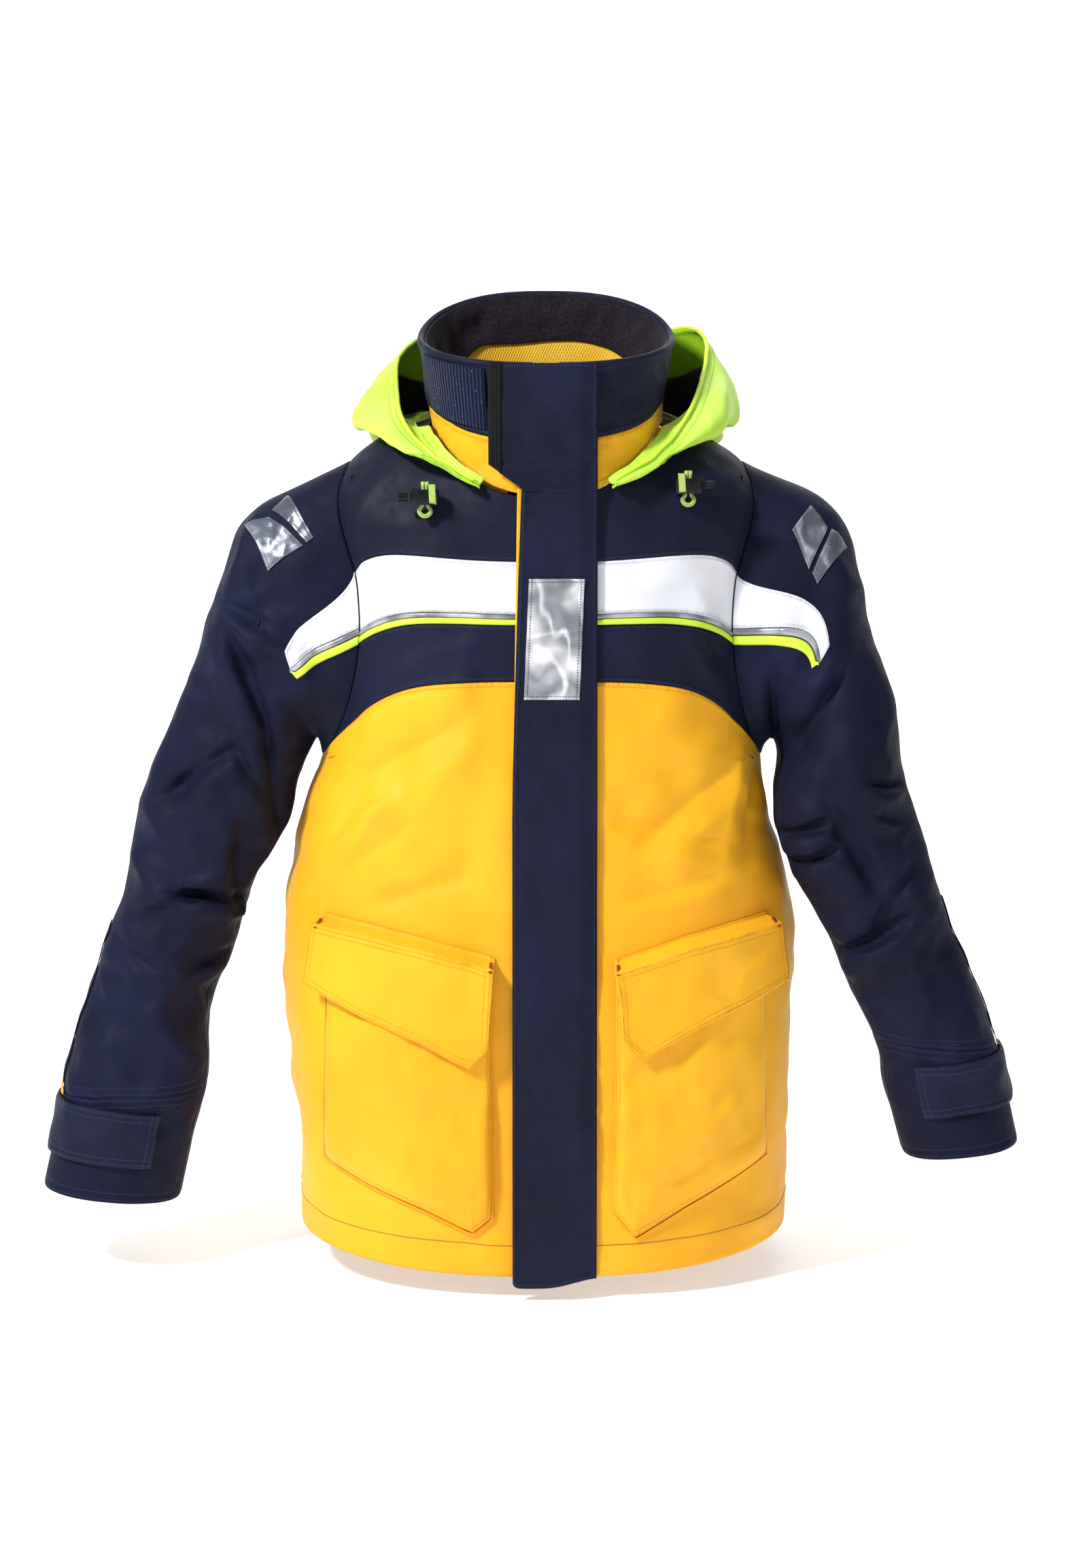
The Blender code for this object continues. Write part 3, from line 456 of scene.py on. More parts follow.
def body_grid():
    """The shell of the body with its folds, held flat at seams, at centre front and behind the pockets."""
    columns, frames = 180, 14
    turns = np.arange(columns) * (2 * math.pi / columns)
    heights = np.linspace(HEM, NECK, 132)
    turn, height = np.meshgrid(turns, heights)
    points = plain_body(turn, height)
    away = from_axis(points)
    n = grid_normals(points, away)
    front = smoothstep(0.0, 0.5, -n[..., 1])
    centre = 1 - smoothstep(0.050, 0.075, np.abs(points[..., 0])) * smoothstep(-0.2, 0.2, -n[..., 1] + 0.3)
    centre = np.where(n[..., 1] > 0.3, 0, centre)
    pocket = smoothstep(0.055, 0.075, np.abs(points[..., 0])) * (1 - smoothstep(0.350, 0.385, height))
    pocket *= smoothstep(0.060, 0.080, height) * front
    sewn = np.maximum(in_arm(turn, height, 0.35), 1 - smoothstep(0.0, 0.020, NECK - height))
    sewn = np.maximum(sewn, 1 - smoothstep(0.0, 0.030, height - HEM))
    free = (1 - sewn) * (1 - centre)
    move = 0.0016 * ripple(points, 0.16, 3) + 0.0007 * ripple(points, 0.06, 4)
    for line, width, depth in BODY_FOLDS:
        move = move + fold(points, front, line, width, depth)
    points = points + n * (move * free * (1 - 0.7 * pocket))[..., None]
    hold = np.clip(np.maximum(np.maximum(sewn, centre), 0.6 * pocket), 0, 1)
    points = settle(points, True, np.where(pocket > 0.2, 1, hold), 0.016, frames)
    crumple = 0.0022 * facets(points, 0.16, 5) + 0.0009 * facets(points, 0.055, 6)
    for line, width, depth in BODY_FOLDS:
        crumple = crumple + fold(points, front, line, 0.9 * width, 0.30 * depth)
    points = points + grid_normals(points, away) * (crumple * free * (1 - 0.85 * pocket))[..., None]
    return Grid(turns, heights, points, wraps=True)


def plain_sleeve(side, phi, along):
    """The unfolded sleeve's points: phi 0 at its outer edge, a quarter turn at the front."""
    sign = SIDE[side]
    turn = math.pi / 2 - ARM_LAP * ARM_TURN * np.sin(phi)
    height = ARM_MID + ARM_LAP * ARM_HALF * np.cos(phi)
    start = lifted(plain_body, sign * turn, height, 0.0006 + 0 * phi)
    rows = [start]
    for outer_x, outer_z, inner_x, inner_z, y, depth in SLEEVE[side]:
        middle = np.array((outer_x + inner_x, 2 * y, outer_z + inner_z)) / 2
        outward = np.array((outer_x - inner_x, 0, outer_z - inner_z)) / 2
        forward = np.array((0, -depth, 0))
        c, s = signed_power(np.cos(phi), 0.9), signed_power(np.sin(phi), 0.9)
        rows.append(middle + c[..., None] * outward + s[..., None] * forward)
    table = np.concatenate([np.arange(len(rows))[:, None], np.stack(rows).reshape(len(rows), -1)], 1)
    return through(table, along).reshape(*np.shape(along), -1, 3)


def sleeve_grid(side):
    """A sleeve with its folds, held where it meets the armhole and flatter near the cuff."""
    columns, frames = 110, 14
    phis = np.arange(columns) * (2 * math.pi / columns)
    last = len(SLEEVE[side])
    alongs = np.linspace(0, last, 166)
    points = plain_sleeve(side, phis, alongs)
    middle = points.mean(axis=1, keepdims=True)
    n = grid_normals(points, points - middle)
    front = smoothstep(-0.1, 0.5, -n[..., 1])
    behind = smoothstep(-0.1, 0.5, n[..., 1])
    along = np.broadcast_to(alongs[:, None], points.shape[:2])
    top = 1 - smoothstep(0.0, 0.9, along)
    end = smoothstep(last - 0.9, last - 0.35, along)
    free = (1 - top) * (1 - 0.8 * end)
    move = 0.0022 * ripple(points, 0.13, 11) + 0.0008 * ripple(points, 0.045, 12)
    move = move * (0.3 + 0.7 * np.abs(n[..., 1]))
    for line, width, depth in SLEEVE_FOLDS[side]:
        move = move + fold(points, front, line, width, depth)
        (x0, z0), (x1, z1) = line
        move = move + fold(points, behind, ((x0, z0 - 0.03), (x1, z1 + 0.02)), width * 1.2, depth)
    points = points + n * (move * free)[..., None]
    hold = np.clip(np.maximum(top, end), 0, 1)
    points = settle(points, True, hold, 0.022, frames)
    n = grid_normals(points, points - middle)
    crumple = 0.0048 * facets(points, 0.11, 13) + 0.0016 * facets(points, 0.045, 14)
    for line, width, depth in SLEEVE_FOLDS[side]:
        crumple = crumple + fold(points, front, line, 0.6 * width, 0.95 * depth)
    points = points + n * (crumple * free * (0.2 + 0.8 * np.abs(n[..., 1])))[..., None]
    return Grid(phis, alongs, points, wraps=True)


# ---------------------------------------------------------------- shader building

class Shader:
    """A material and short ways to add nodes to it; a value may be a number or another node's output."""

    def __init__(self, name):
        self.material = bpy.data.materials.new(name)
        self.material.use_nodes = True
        self.tree = self.material.node_tree
        self.bsdf = self.tree.nodes["Principled BSDF"]

    def node(self, kind, inputs=None, **settings):
        made = self.tree.nodes.new(kind)
        for key, value in settings.items():
            setattr(made, key, value)
        for key, value in (inputs or {}).items():
            self.put(made.inputs[key], value)
        return made

    def put(self, socket, value):
        if isinstance(value, bpy.types.NodeSocket):
            self.tree.links.new(value, socket)
        else:
            socket.default_value = value

    def math(self, operation, a, b=0.0, clamp=False):
        made = self.node("ShaderNodeMath", {0: a, 1: b}, operation=operation, use_clamp=clamp)
        return made.outputs[0]

    def wave(self, value, length):
        return self.math("SINE", self.math("MULTIPLY", value, 2 * math.pi / length))

    def ramp(self, value, low, high, start=0.0, end=1.0):
        made = self.node("ShaderNodeMapRange", {"Value": value, "From Min": low, "From Max": high,
                                                "To Min": start, "To Max": end},
                         interpolation_type="SMOOTHSTEP")
        return made.outputs["Result"]

    def mix(self, share, a, b):
        made = self.node("ShaderNodeMix", data_type="RGBA")
        self.put(made.inputs["Factor"], share)
        self.put(made.inputs[6], a)
        self.put(made.inputs[7], b)
        return made.outputs[2]

    def noise(self, vector, scale, detail=3.0, rough=0.55, kind="FBM"):
        made = self.node("ShaderNodeTexNoise", {"Vector": vector, "Scale": scale, "Detail": detail,
                                                "Roughness": rough}, noise_type=kind)
        return made.outputs[0]

    def stretched(self, vector, x, y, z=1.0):
        return self.node("ShaderNodeVectorMath", {0: vector, 1: (x, y, z)}, operation="MULTIPLY").outputs[0]

    def split(self, vector):
        return self.node("ShaderNodeSeparateXYZ", {0: vector}).outputs

    def places(self):
        """Position in metres on the cloth, and in the room."""
        uv = self.node("ShaderNodeUVMap", uv_map="cloth").outputs[0]
        room = self.node("ShaderNodeTexCoord").outputs["Object"]
        return uv, room

    def bump(self, height, distance, strength=1.0, normal=None):
        inputs = {"Height": height, "Distance": distance, "Strength": strength}
        if normal is not None:
            inputs["Normal"] = normal
        return self.node("ShaderNodeBump", inputs).outputs[0]

    def finish(self, colour, roughness, normal, metallic=0.0, sheen=0.0, specular=0.5, coat=0.0):
        self.put(self.bsdf.inputs["Base Color"], colour)
        self.put(self.bsdf.inputs["Roughness"], roughness)
        self.put(self.bsdf.inputs["Normal"], normal)
        self.bsdf.inputs["Metallic"].default_value = metallic
        self.bsdf.inputs["Sheen Weight"].default_value = sheen
        self.bsdf.inputs["Sheen Roughness"].default_value = 0.45
        self.bsdf.inputs["Specular IOR Level"].default_value = specular
        self.bsdf.inputs["Coat Weight"].default_value = coat
        return self.material


def rgb(red, green, blue):
    """A colour given as on a screen, as the linear light that shaders use."""
    screen = np.array((red, green, blue)) / 255.0
    linear = np.where(screen > 0.0405, ((screen + 0.055) / 1.055) ** 2.4, screen / 12.92)
    return (*[float(v) for v in linear], 1.0)


def stitches(shader, uv, rows, pitch=0.0030, width=0.00045):
    """Where thread lies: dashes along each sewn edge at the given distances from it."""
    edges = shader.node("ShaderNodeAttribute", attribute_name="edges").outputs["Vector"]
    sides, ends = shader.split(edges)[:2]
    u, v = shader.split(uv)[:2]
    found = 0.0
    for distance, along in ((sides, v), (ends, u)):
        dash = shader.ramp(shader.wave(along, pitch), -0.75, -0.45)
        for row in rows:
            off = shader.math("ABSOLUTE", shader.math("SUBTRACT", distance, row))
            line = shader.ramp(off, width, width * 1.9, 1.0, 0.0)
            found = shader.math("MAXIMUM", found, shader.math("MULTIPLY", line, dash))
    return found, shader.math("MINIMUM", sides, ends)


def nylon(name, colour, deep, worn, rows=(0.0030,), rough=0.52, sheen=0.15, crumple=0.5, grain=0.00012,
          thread=None, specular=0.45):
    """Coated woven nylon: crossed threads, soft creases, puckers, tonal stitching and painted shade along its
    seams.
    """
    s = Shader(name)
    uv, room = s.places()
    sewn, edge = stitches(s, uv, rows)
    warp = s.noise(s.stretched(uv, 1500, 160), 1.0, 2.0)
    weft = s.noise(s.stretched(uv, 160, 1500), 1.0, 2.0)
    threads = s.math("ADD", warp, weft)
    broad = s.noise(room, 9.0, 3.0)
    fine = s.noise(room, 60.0, 4.0, 0.6)
    crease = s.noise(s.stretched(room, 1.0, 1.0, 0.8), 26.0, 5.0, 0.5, "RIDGED_MULTIFRACTAL")
    tone = s.mix(s.ramp(broad, 0.30, 0.72), deep, colour)
    tone = s.mix(s.ramp(threads, 0.75, 1.35, 0.0, 0.16), tone, worn)
    rub = s.math("MULTIPLY", s.ramp(edge, 0.0, 0.0022, 1.0, 0.0), s.ramp(fine, 0.45, 0.7))
    tone = s.mix(s.math("MULTIPLY", rub, 0.45), tone, worn)
    # painted shade: the cloth darkens a little towards its sewn edges, where it is drawn down into the seam
    near = s.ramp(edge, 0.0008, 0.0075, 1.0, 0.0)
    tone = s.mix(s.math("MULTIPLY", near, 0.10), tone, deep)
    tone = s.mix(sewn, tone, thread or worn)
    pucker = s.math("MULTIPLY", s.noise(uv, 170.0, 2.0), near)
    normal = s.bump(crease, 0.0035, crumple)
    normal = s.bump(pucker, 0.0022, 0.8, normal)
    normal = s.bump(fine, 0.0012, 0.35, normal)
    normal = s.bump(threads, grain, 0.8, normal)
    normal = s.bump(sewn, 0.0005, 0.9, normal)
    shine = s.math("ADD", s.ramp(fine, 0.3, 0.7, rough - 0.07, rough + 0.07), s.math("MULTIPLY", sewn, 0.1))
    return s.finish(tone, shine, normal, sheen=sheen, specular=specular)


def film(name, light, dark, metallic=0.55, painted_highlights=0.0):
    """Crinkled reflective film: painted reflections as light and dark blotches, painted white highlight
    streaks and painted glints on its crinkle ridges, a fine honeycomb and a heat-sealed stitched border.
    """
    s = Shader(name)
    uv = s.places()[0]
    sewn, edge = stitches(s, uv, (0.0028,), pitch=0.0026)
    crinkles = s.noise(uv, 60.0, 4.0, 0.55, "RIDGED_MULTIFRACTAL")
    broad = s.noise(uv, 24.0, 2.0, 0.5)
    band = s.noise(s.stretched(uv, 1.0, 0.5), 34.0, 1.0, 0.4)
    cells = s.node("ShaderNodeTexVoronoi", {"Vector": uv, "Scale": 900.0}).outputs["Distance"]
    # painted reflection: broad light and dark blotches, as of the studio mirrored in the film
    tone = s.mix(s.ramp(broad, 0.40, 0.60), dark, light)
    # painted highlight: thin white streaks laid over the film
    painted_highlight = s.ramp(s.math("ABSOLUTE", s.math("SUBTRACT", band, 0.5)), 0.0, 0.06, 1.0, 0.0)
    tone = s.mix(s.math("MULTIPLY", painted_highlight, painted_highlights), tone, rgb(252, 252, 255))
    # painted glints: the crinkle ridges are lightened
    tone = s.mix(s.ramp(crinkles, 0.9, 1.6, 0.0, 0.4), tone, light)
    tone = s.mix(s.ramp(edge, 0.0012, 0.0022, 0.35, 0.0), tone, dark)
    tone = s.mix(s.math("MULTIPLY", sewn, 0.7), tone, rgb(92, 95, 104))
    normal = s.bump(crinkles, 0.0012, 0.5)
    normal = s.bump(broad, 0.0040, 0.7, normal)
    normal = s.bump(cells, 0.0002, 0.4, normal)
    normal = s.bump(sewn, 0.0006, 0.9, normal)
    return s.finish(tone, s.ramp(broad, 0.3, 0.7, 0.26, 0.42), normal, metallic=metallic, specular=0.5)


def pile(name, colour, light, scale=420.0, ribs=0.0, lint=0.0):
    """Brushed fleece or the soft half of hook and loop, with ribs and lint where it has them."""
    s = Shader(name)
    uv, room = s.places()
    fuzz = s.noise(room, scale, 5.0, 0.7)
    clumps = s.noise(room, 55.0, 3.0)
    tone = s.mix(s.ramp(fuzz, 0.35, 0.75), colour, light)
    normal = s.bump(clumps, 0.0018, 0.6)
    normal = s.bump(fuzz, 0.0012, 0.9, normal)
    if ribs:
        rib = s.wave(s.split(uv)[0], ribs)
        tone = s.mix(s.ramp(rib, -0.4, 0.8, 0.0, 0.55), tone, light)
        normal = s.bump(rib, 0.0006, 0.9, normal)
    if lint:
        specks = s.noise(s.stretched(uv, 1.0, 0.35), 700.0, 2.0, 0.5)
        tone = s.mix(s.ramp(specks, 0.70, 0.76, 0.0, lint), tone, rgb(190, 195, 205))
    return s.finish(tone, 0.92, normal, sheen=0.10, specular=0.12)


def mesh_cloth(name, colour, deep, pitch=0.0026):
    """Knitted mesh lining with its staggered holes."""
    s = Shader(name)
    uv, room = s.places()
    u, v = s.split(uv)[:2]
    across = s.wave(u, pitch)
    along = s.wave(v, pitch)
    knit = s.math("MULTIPLY", across, along)
    broad = s.noise(room, 14.0, 3.0)
    tone = s.mix(s.ramp(broad, 0.3, 0.7), deep, colour)
    tone = s.mix(s.ramp(knit, 0.45, 0.85, 0.0, 0.45), tone, deep)
    normal = s.bump(broad, 0.0040, 0.7)
    normal = s.bump(knit, 0.0004, 0.8, normal)
    return s.finish(tone, 0.72, normal, sheen=0.2, specular=0.3)


def tape(name, colour, light, pitch=0.0018):
    """Herringbone woven tape."""
    s = Shader(name)
    uv, room = s.places()
    u, v = s.split(uv)[:2]
    zig = s.math("PINGPONG", u, pitch)
    rows = s.wave(s.math("ADD", v, zig), pitch * 0.6)
    wear = s.noise(room, 120.0, 3.0)
    tone = s.mix(s.ramp(rows, -0.5, 0.9, 0.0, 0.5), colour, light)
    tone = s.mix(s.ramp(wear, 0.55, 0.8, 0.0, 0.4), tone, light)
    normal = s.bump(wear, 0.0010, 0.4)
    normal = s.bump(rows, 0.0003, 0.9, normal)
    return s.finish(tone, s.ramp(wear, 0.3, 0.7, 0.5, 0.68), normal, sheen=0.02, specular=0.2)


def moulded(name, colour, light):
    """Injection-moulded acetal: satin, faintly marked, paler where it rubs."""
    s = Shader(name)
    room = s.node("ShaderNodeTexCoord").outputs["Object"]
    marks = s.noise(s.stretched(room, 1.0, 4.0, 1.0), 260.0, 4.0, 0.65)
    skin = s.noise(room, 900.0, 2.0)
    tone = s.mix(s.ramp(marks, 0.45, 0.8, 0.0, 0.6), colour, light)
    normal = s.bump(skin, 0.00015, 0.5)
    normal = s.bump(marks, 0.0002, 0.4, normal)
    return s.finish(tone, s.ramp(marks, 0.3, 0.7, 0.28, 0.44), normal, specular=0.35)


def braid(name, colour, deep):
    """Braided elastic: two sets of diagonal strands."""
    s = Shader(name)
    uv, room = s.places()
    u, v = s.split(uv)[:2]
    one, two = [s.wave(s.math(crossing, u, v), 0.0011) for crossing in ("ADD", "SUBTRACT")]
    strands = s.math("MAXIMUM", one, two)
    wear = s.noise(room, 150.0, 3.0)
    tone = s.mix(s.ramp(strands, -0.2, 0.8), deep, colour)
    tone = s.mix(s.ramp(wear, 0.5, 0.8, 0.0, 0.4), tone, deep)
    return s.finish(tone, 0.6, s.bump(strands, 0.0003, 0.9), sheen=0.2)


def materials():
    """Every finish of the jacket by name."""
    black, soft_black = rgb(5, 5, 8), rgb(18, 19, 26)
    yellows = (rgb(254, 186, 26), rgb(247, 172, 12), rgb(255, 202, 66))
    yellow_thread = rgb(240, 170, 16)
    yellow_cloth = {"rough": 0.56, "sheen": 0.05, "crumple": 0.35, "specular": 0.3, "thread": yellow_thread}
    navies = (rgb(20, 25, 52), rgb(13, 16, 36), rgb(40, 46, 78))
    navy_thread = rgb(38, 44, 74)
    return {
        "yellow": nylon("yellow_nylon", *yellows, rows=(0.0034,), **yellow_cloth),
        "pocket": nylon("yellow_pocket_nylon", *yellows, rows=(0.0022, 0.0068), **yellow_cloth),
        "navy": nylon("navy_nylon", *navies, rows=(0.0028,), rough=0.60, sheen=0.02, crumple=0.45,
                      thread=navy_thread, specular=0.16),
        "sleeve": nylon("navy_sleeve_nylon", *navies, rows=(0.0028, 0.0090), rough=0.64, sheen=0.0,
                        crumple=0.45, thread=navy_thread, specular=0.12),
        "white": nylon("white_nylon", rgb(242, 243, 249), rgb(232, 234, 243), rgb(252, 252, 255),
                       rows=(0.0024,), sheen=0.05, crumple=0.22, thread=rgb(218, 220, 230)),
        "lime": nylon("lime_nylon", rgb(208, 249, 96), rgb(186, 236, 64), rgb(230, 255, 140),
                      rows=(0.0030, 0.0085), sheen=0.05, crumple=0.45, thread=rgb(176, 220, 60),
                      specular=0.3),
        "lime_piping": nylon("lime_piping", rgb(222, 250, 70), rgb(196, 236, 40), rgb(238, 255, 140),
                             rows=(), sheen=0.05, crumple=0.1),
        "grey_piping": film("grey_piping", rgb(186, 188, 196), rgb(120, 122, 132), metallic=0.35),
        "lining": mesh_cloth("yellow_lining", rgb(255, 214, 78), rgb(238, 182, 36)),
        "dark_lining": mesh_cloth("hood_lining", rgb(30, 34, 46), rgb(16, 18, 26)),
        "fleece": pile("fleece", rgb(26, 21, 30), rgb(50, 43, 54)),
        "ribbed": pile("hook_and_loop", rgb(13, 18, 42), rgb(26, 36, 74), scale=700.0, ribs=0.0034, lint=1.0),
        "tape": tape("black_tape", black, soft_black),
        "plastic": moulded("black_plastic", black, soft_black),
        "chest_film": film("chest_film", rgb(226, 228, 233), rgb(158, 161, 170), painted_highlights=0.9),
        "shoulder_film": film("shoulder_film", rgb(128, 134, 146), rgb(84, 90, 104), metallic=0.25,
                              painted_highlights=0.25),
        "cord": braid("lime_cord", rgb(214, 250, 120), rgb(140, 184, 40)),
        "thread": braid("yellow_thread", rgb(244, 176, 20), rgb(214, 140, 4)),
        "bar_tack": tape("bar_tack_thread", rgb(200, 70, 30), rgb(226, 110, 50), pitch=0.0009),
        "ribbed_strip": pile("ribbed_strip", rgb(12, 14, 26), rgb(36, 40, 62), scale=700.0, ribs=0.0034),
        "strap": nylon("strap_nylon", rgb(21, 26, 54), rgb(14, 17, 38), rgb(42, 48, 80),
                       rows=(0.0028, 0.0075), rough=0.60, sheen=0.02, crumple=0.3, thread=rgb(40, 46, 76),
                       specular=0.16),
        # the hood shell's inner face: the same lime darkened, as painted shade
        "lime_inside": nylon("lime_inside", rgb(160, 216, 34), rgb(142, 198, 20), rgb(196, 240, 80), rows=(),
                             sheen=0.05, crumple=0.4, specular=0.3),
    }


LOOK = materials()


# ---------------------------------------------------------------- pieces from grids

def lengths(points, axis):
    """Distance travelled along a grid's rows or columns, one value for each point."""
    step = np.linalg.norm(np.diff(points, axis=axis), axis=-1)
    zero = np.zeros_like(np.take(step, [0], axis=axis))
    return np.cumsum(np.concatenate([zero, step], axis=axis), axis=axis)


def panel(name, points, thickness, finish, away=None, node=None, body="jacket", lift=0.0,
          sewn="lrbt", dip=0.0006):
    """A cut of cloth laid over a grid of points: lifted, drawn down along its sewn edges, and thickened."""
    dip_width = 0.0040
    away = from_axis(points) if away is None else away
    u, v = lengths(points, 1), lengths(points, 0)
    far = np.full(u.shape, 1.0)
    sides = np.minimum(u if "l" in sewn else far, u.max(axis=1, keepdims=True) - u if "r" in sewn else far)
    ends = np.minimum(v if "b" in sewn else far, v.max(axis=0, keepdims=True) - v if "t" in sewn else far)
    n = grid_normals(points, away)
    drawn = dip * (1 - smoothstep(0, dip_width, np.minimum(sides, ends)))
    outer = points + n * (lift - drawn)[..., None] if dip or np.ndim(lift) else points + n * lift
    back = outer - grid_normals(outer, away) * thickness
    made = closed_mesh(name, outer, back, finish)
    across, along = u.mean(axis=0), v.mean(axis=1)[:, None]
    uv = np.stack([np.broadcast_to(across, u.shape), np.broadcast_to(along, v.shape)], -1)
    edges = np.stack([sides, ends, np.zeros_like(sides)], -1)
    write_places(made.data, np.tile(uv.reshape(-1, 2), (2, 1)), np.tile(edges.reshape(-1, 3), (2, 1)))
    return place(made, node or name, body)


def write_places(mesh, uv, edges):
    """Stores each point's place on the flat cloth and its distance from the sewn edges."""
    corner = np.empty(len(mesh.loops), np.int32)
    mesh.loops.foreach_get("vertex_index", corner)
    layer = mesh.uv_layers.new(name="cloth")
    layer.data.foreach_set("uv", uv[corner].astype(np.float32).reshape(-1))
    attribute = mesh.attributes.new("edges", "FLOAT_VECTOR", "POINT")
    attribute.data.foreach_set("vector", edges.astype(np.float32).reshape(-1))


def closed_mesh(name, outer, back, finish):
    """One closed skin from a grid's front and back."""
    rows, columns = outer.shape[:2]
    count = rows * columns
    quads = np.array(grid_quads(rows, columns))
    rim = np.concatenate([
        np.arange(columns), np.arange(1, rows) * columns + columns - 1,
        (rows - 1) * columns + np.arange(columns - 2, -1, -1), np.arange(rows - 2, 0, -1) * columns])
    turned = np.roll(rim, -1)
    walls = np.stack([turned, rim, rim + count, turned + count], -1)
    faces = np.concatenate([quads, quads[:, ::-1] + count, walls])
    front = outer[rows // 2, columns // 2] - back[rows // 2, columns // 2]
    middle = quads[(rows // 2 - 1) * (columns - 1) + columns // 2 - 1] if rows > 2 else quads[len(quads) // 2]
    flat = outer.reshape(-1, 3)
    facing = np.cross(flat[middle[1]] - flat[middle[0]], flat[middle[3]] - flat[middle[0]])
    if facing @ front < 0:
        faces = faces[:, ::-1]
    mesh = bpy.data.meshes.new(name)
    points = np.concatenate([flat, back.reshape(-1, 3)]) - HANG_LOOP
    mesh.from_pydata(points.tolist(), [], faces.tolist())
    mesh.shade_smooth()
    return linked(name, mesh, LOOK[finish])


def linked(name, mesh, material):
    """The mesh as an object of the scene, in one material."""
    mesh.materials.append(material)
    made = bpy.data.objects.new(name, mesh)
    bpy.context.scene.collection.objects.link(made)
    return made


def welded(name, points, faces, finish):
    """An object from points and faces, joined where corners meet, with every face turned outward."""
    shape = bmesh.new()
    corners = [shape.verts.new(p - HANG_LOOP) for p in points]
    for face in faces:
        shape.faces.new([corners[i] for i in face])
    bmesh.ops.remove_doubles(shape, verts=shape.verts, dist=1e-6)
    bmesh.ops.recalc_face_normals(shape, faces=shape.faces)
    mesh = bpy.data.meshes.new(name)
    shape.to_mesh(mesh)
    shape.free()
    mesh.shade_smooth()
    return linked(name, mesh, LOOK[finish])


def place(made, node, body):
    """Hides the CAD node that the piece stands for, where that exists, and attaches the piece to the body it
    moves with, where one is given.
    """
    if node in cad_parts:
        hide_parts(node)
    if body:
        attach(made, body)
    return made


def rows_between(low, high, fractions, rows, sign):
    """Turns and heights of a body panel between two seam lines, its edge following the armhole."""
    r = as_column(0, 1, rows)
    f = np.asarray(fractions)[None, :]
    height = low(np.abs(f)) + (high(np.abs(f)) - low(np.abs(f))) * r
    inside = np.abs(height - ARM_MID) < ARM_HALF
    reach = np.where(inside, arm_turn(height), math.pi / 2)
    return sign(f * reach), height


def level(height):
    """A straight seam line at one height."""
    return lambda f: height + 0 * f


def below(line, gap):
    """A seam line moved down."""
    return lambda f: line(f) - gap


def lower_seam(f):
    """The seam under the chest, by the share of the way from centre front to the armhole."""
    return 0.573 - 0.030 * f**2 - 0.038 * f**5


def band_foot(f):
    """The lower edge of the white band, over the two pipings."""
    return 0.632 - 0.035 * f**2.5


def band_top(f):
    """The upper edge of the white band."""
    return 0.6785 - 0.0405 * f**1.72


def body_fronts(body):
    """Each front from the hem up, lower front to yoke, and then its lining and hem."""
    start = float(front_turn(FRONT_EDGE, 0.5)) / (math.pi / 2)
    wide = np.linspace(start, 0.999, 84)
    seam = 0.0001
    panels = [
        ("front_lower", level(HEM), below(lower_seam, seam), 150, "yellow", "lrt"),
        ("chest_panel", below(lower_seam, -seam), below(band_foot, 0.0093), 16, "navy", "lrbt"),
        ("piping_lime", below(band_foot, 0.0092), below(band_foot, 0.0041), 7, "lime_piping", ""),
        ("piping_grey", below(band_foot, 0.0039), below(band_foot, 0.0002), 6, "grey_piping", ""),
        ("white_band", band_foot, below(band_top, seam), 20, "white", "lrbt"),
        ("front_yoke", below(band_top, -seam), level(NECK - 0.001), 26, "navy", "lrb"),
    ]
    for side, sign in SIDE.items():
        turned = lambda t, sign=sign: sign * t
        for name, low, high, rows, finish, sewn in panels:
            turn, height = rows_between(low, high, wide, rows, turned)
            points = body(turn, height)
            if "piping" in name:
                roll = 0.0014 * np.sqrt(np.maximum(0, 1 - as_column(-1, 1, rows) ** 2)) + 0 * turn
                panel(f"{name}_{side}", points, 0.0020, finish, lift=roll, sewn="", dip=0)
            else:
                panel(f"{name}_{side}", points, CLOTH, finish, sewn=sewn)
        inside = np.linspace(0.10, 0.995, 40)
        turn, height = rows_between(level(HEM + 0.03), level(NECK - 0.02), inside, 60, turned)
        panel(f"lining_front_{side}", body(turn, height), LINING, "lining", lift=-LINING_DEPTH, sewn="")
        hem_facing(body, f"hem_facing_{side}", sign * math.pi / 2 * np.linspace(start, 0.999, 60))


def hem_facing(body, name, turns):
    """The hem turned up inside the shell, and the row of thread that holds it."""
    line = body(turns, HEM + 0.0280 + 0 * turns)
    bead(f"{name}_thread", line + unit(from_axis(line)) * 0.0001, 0.0004, "thread", sides=6)
    turn, height = np.meshgrid(turns, np.linspace(HEM + 0.0004, HEM + 0.033, 10))
    points = body(turn, height)
    panel(name, points, 0.0008, "yellow", lift=-0.0022, sewn="")


def body_back(body):
    """The lower back, the yoke above it, the lining and the hem."""
    behind = lambda t: math.pi - t
    wide = np.linspace(-0.999, 0.999, 170)
    for name, low, high, rows, finish, sewn in (
            ("back_lower", HEM, BACK_SEAM - 0.0001, 150, "yellow", "lrt"),
            ("back_yoke", BACK_SEAM + 0.0001, NECK - 0.001, 50, "navy", "lrbt")):
        turn, height = rows_between(level(low), level(high), wide, rows, behind)
        panel(name, body(turn, height), CLOTH, finish, sewn=sewn)
    turn, height = rows_between(level(HEM + 0.03), level(NECK - 0.004), wide[::2], 70, behind)
    panel("lining_back", body(turn, height), LINING, "lining", lift=-LINING_DEPTH, sewn="")
    hem_facing(body, "hem_facing_back", math.pi - math.pi / 2 * wide[::2])


def collar_seam(turn):
    """The seam between the yellow collar base and the navy outside, lower at the sides."""
    return COLLAR_SEAM - COLLAR_SEAM_DIP * np.sin(turn) ** 2


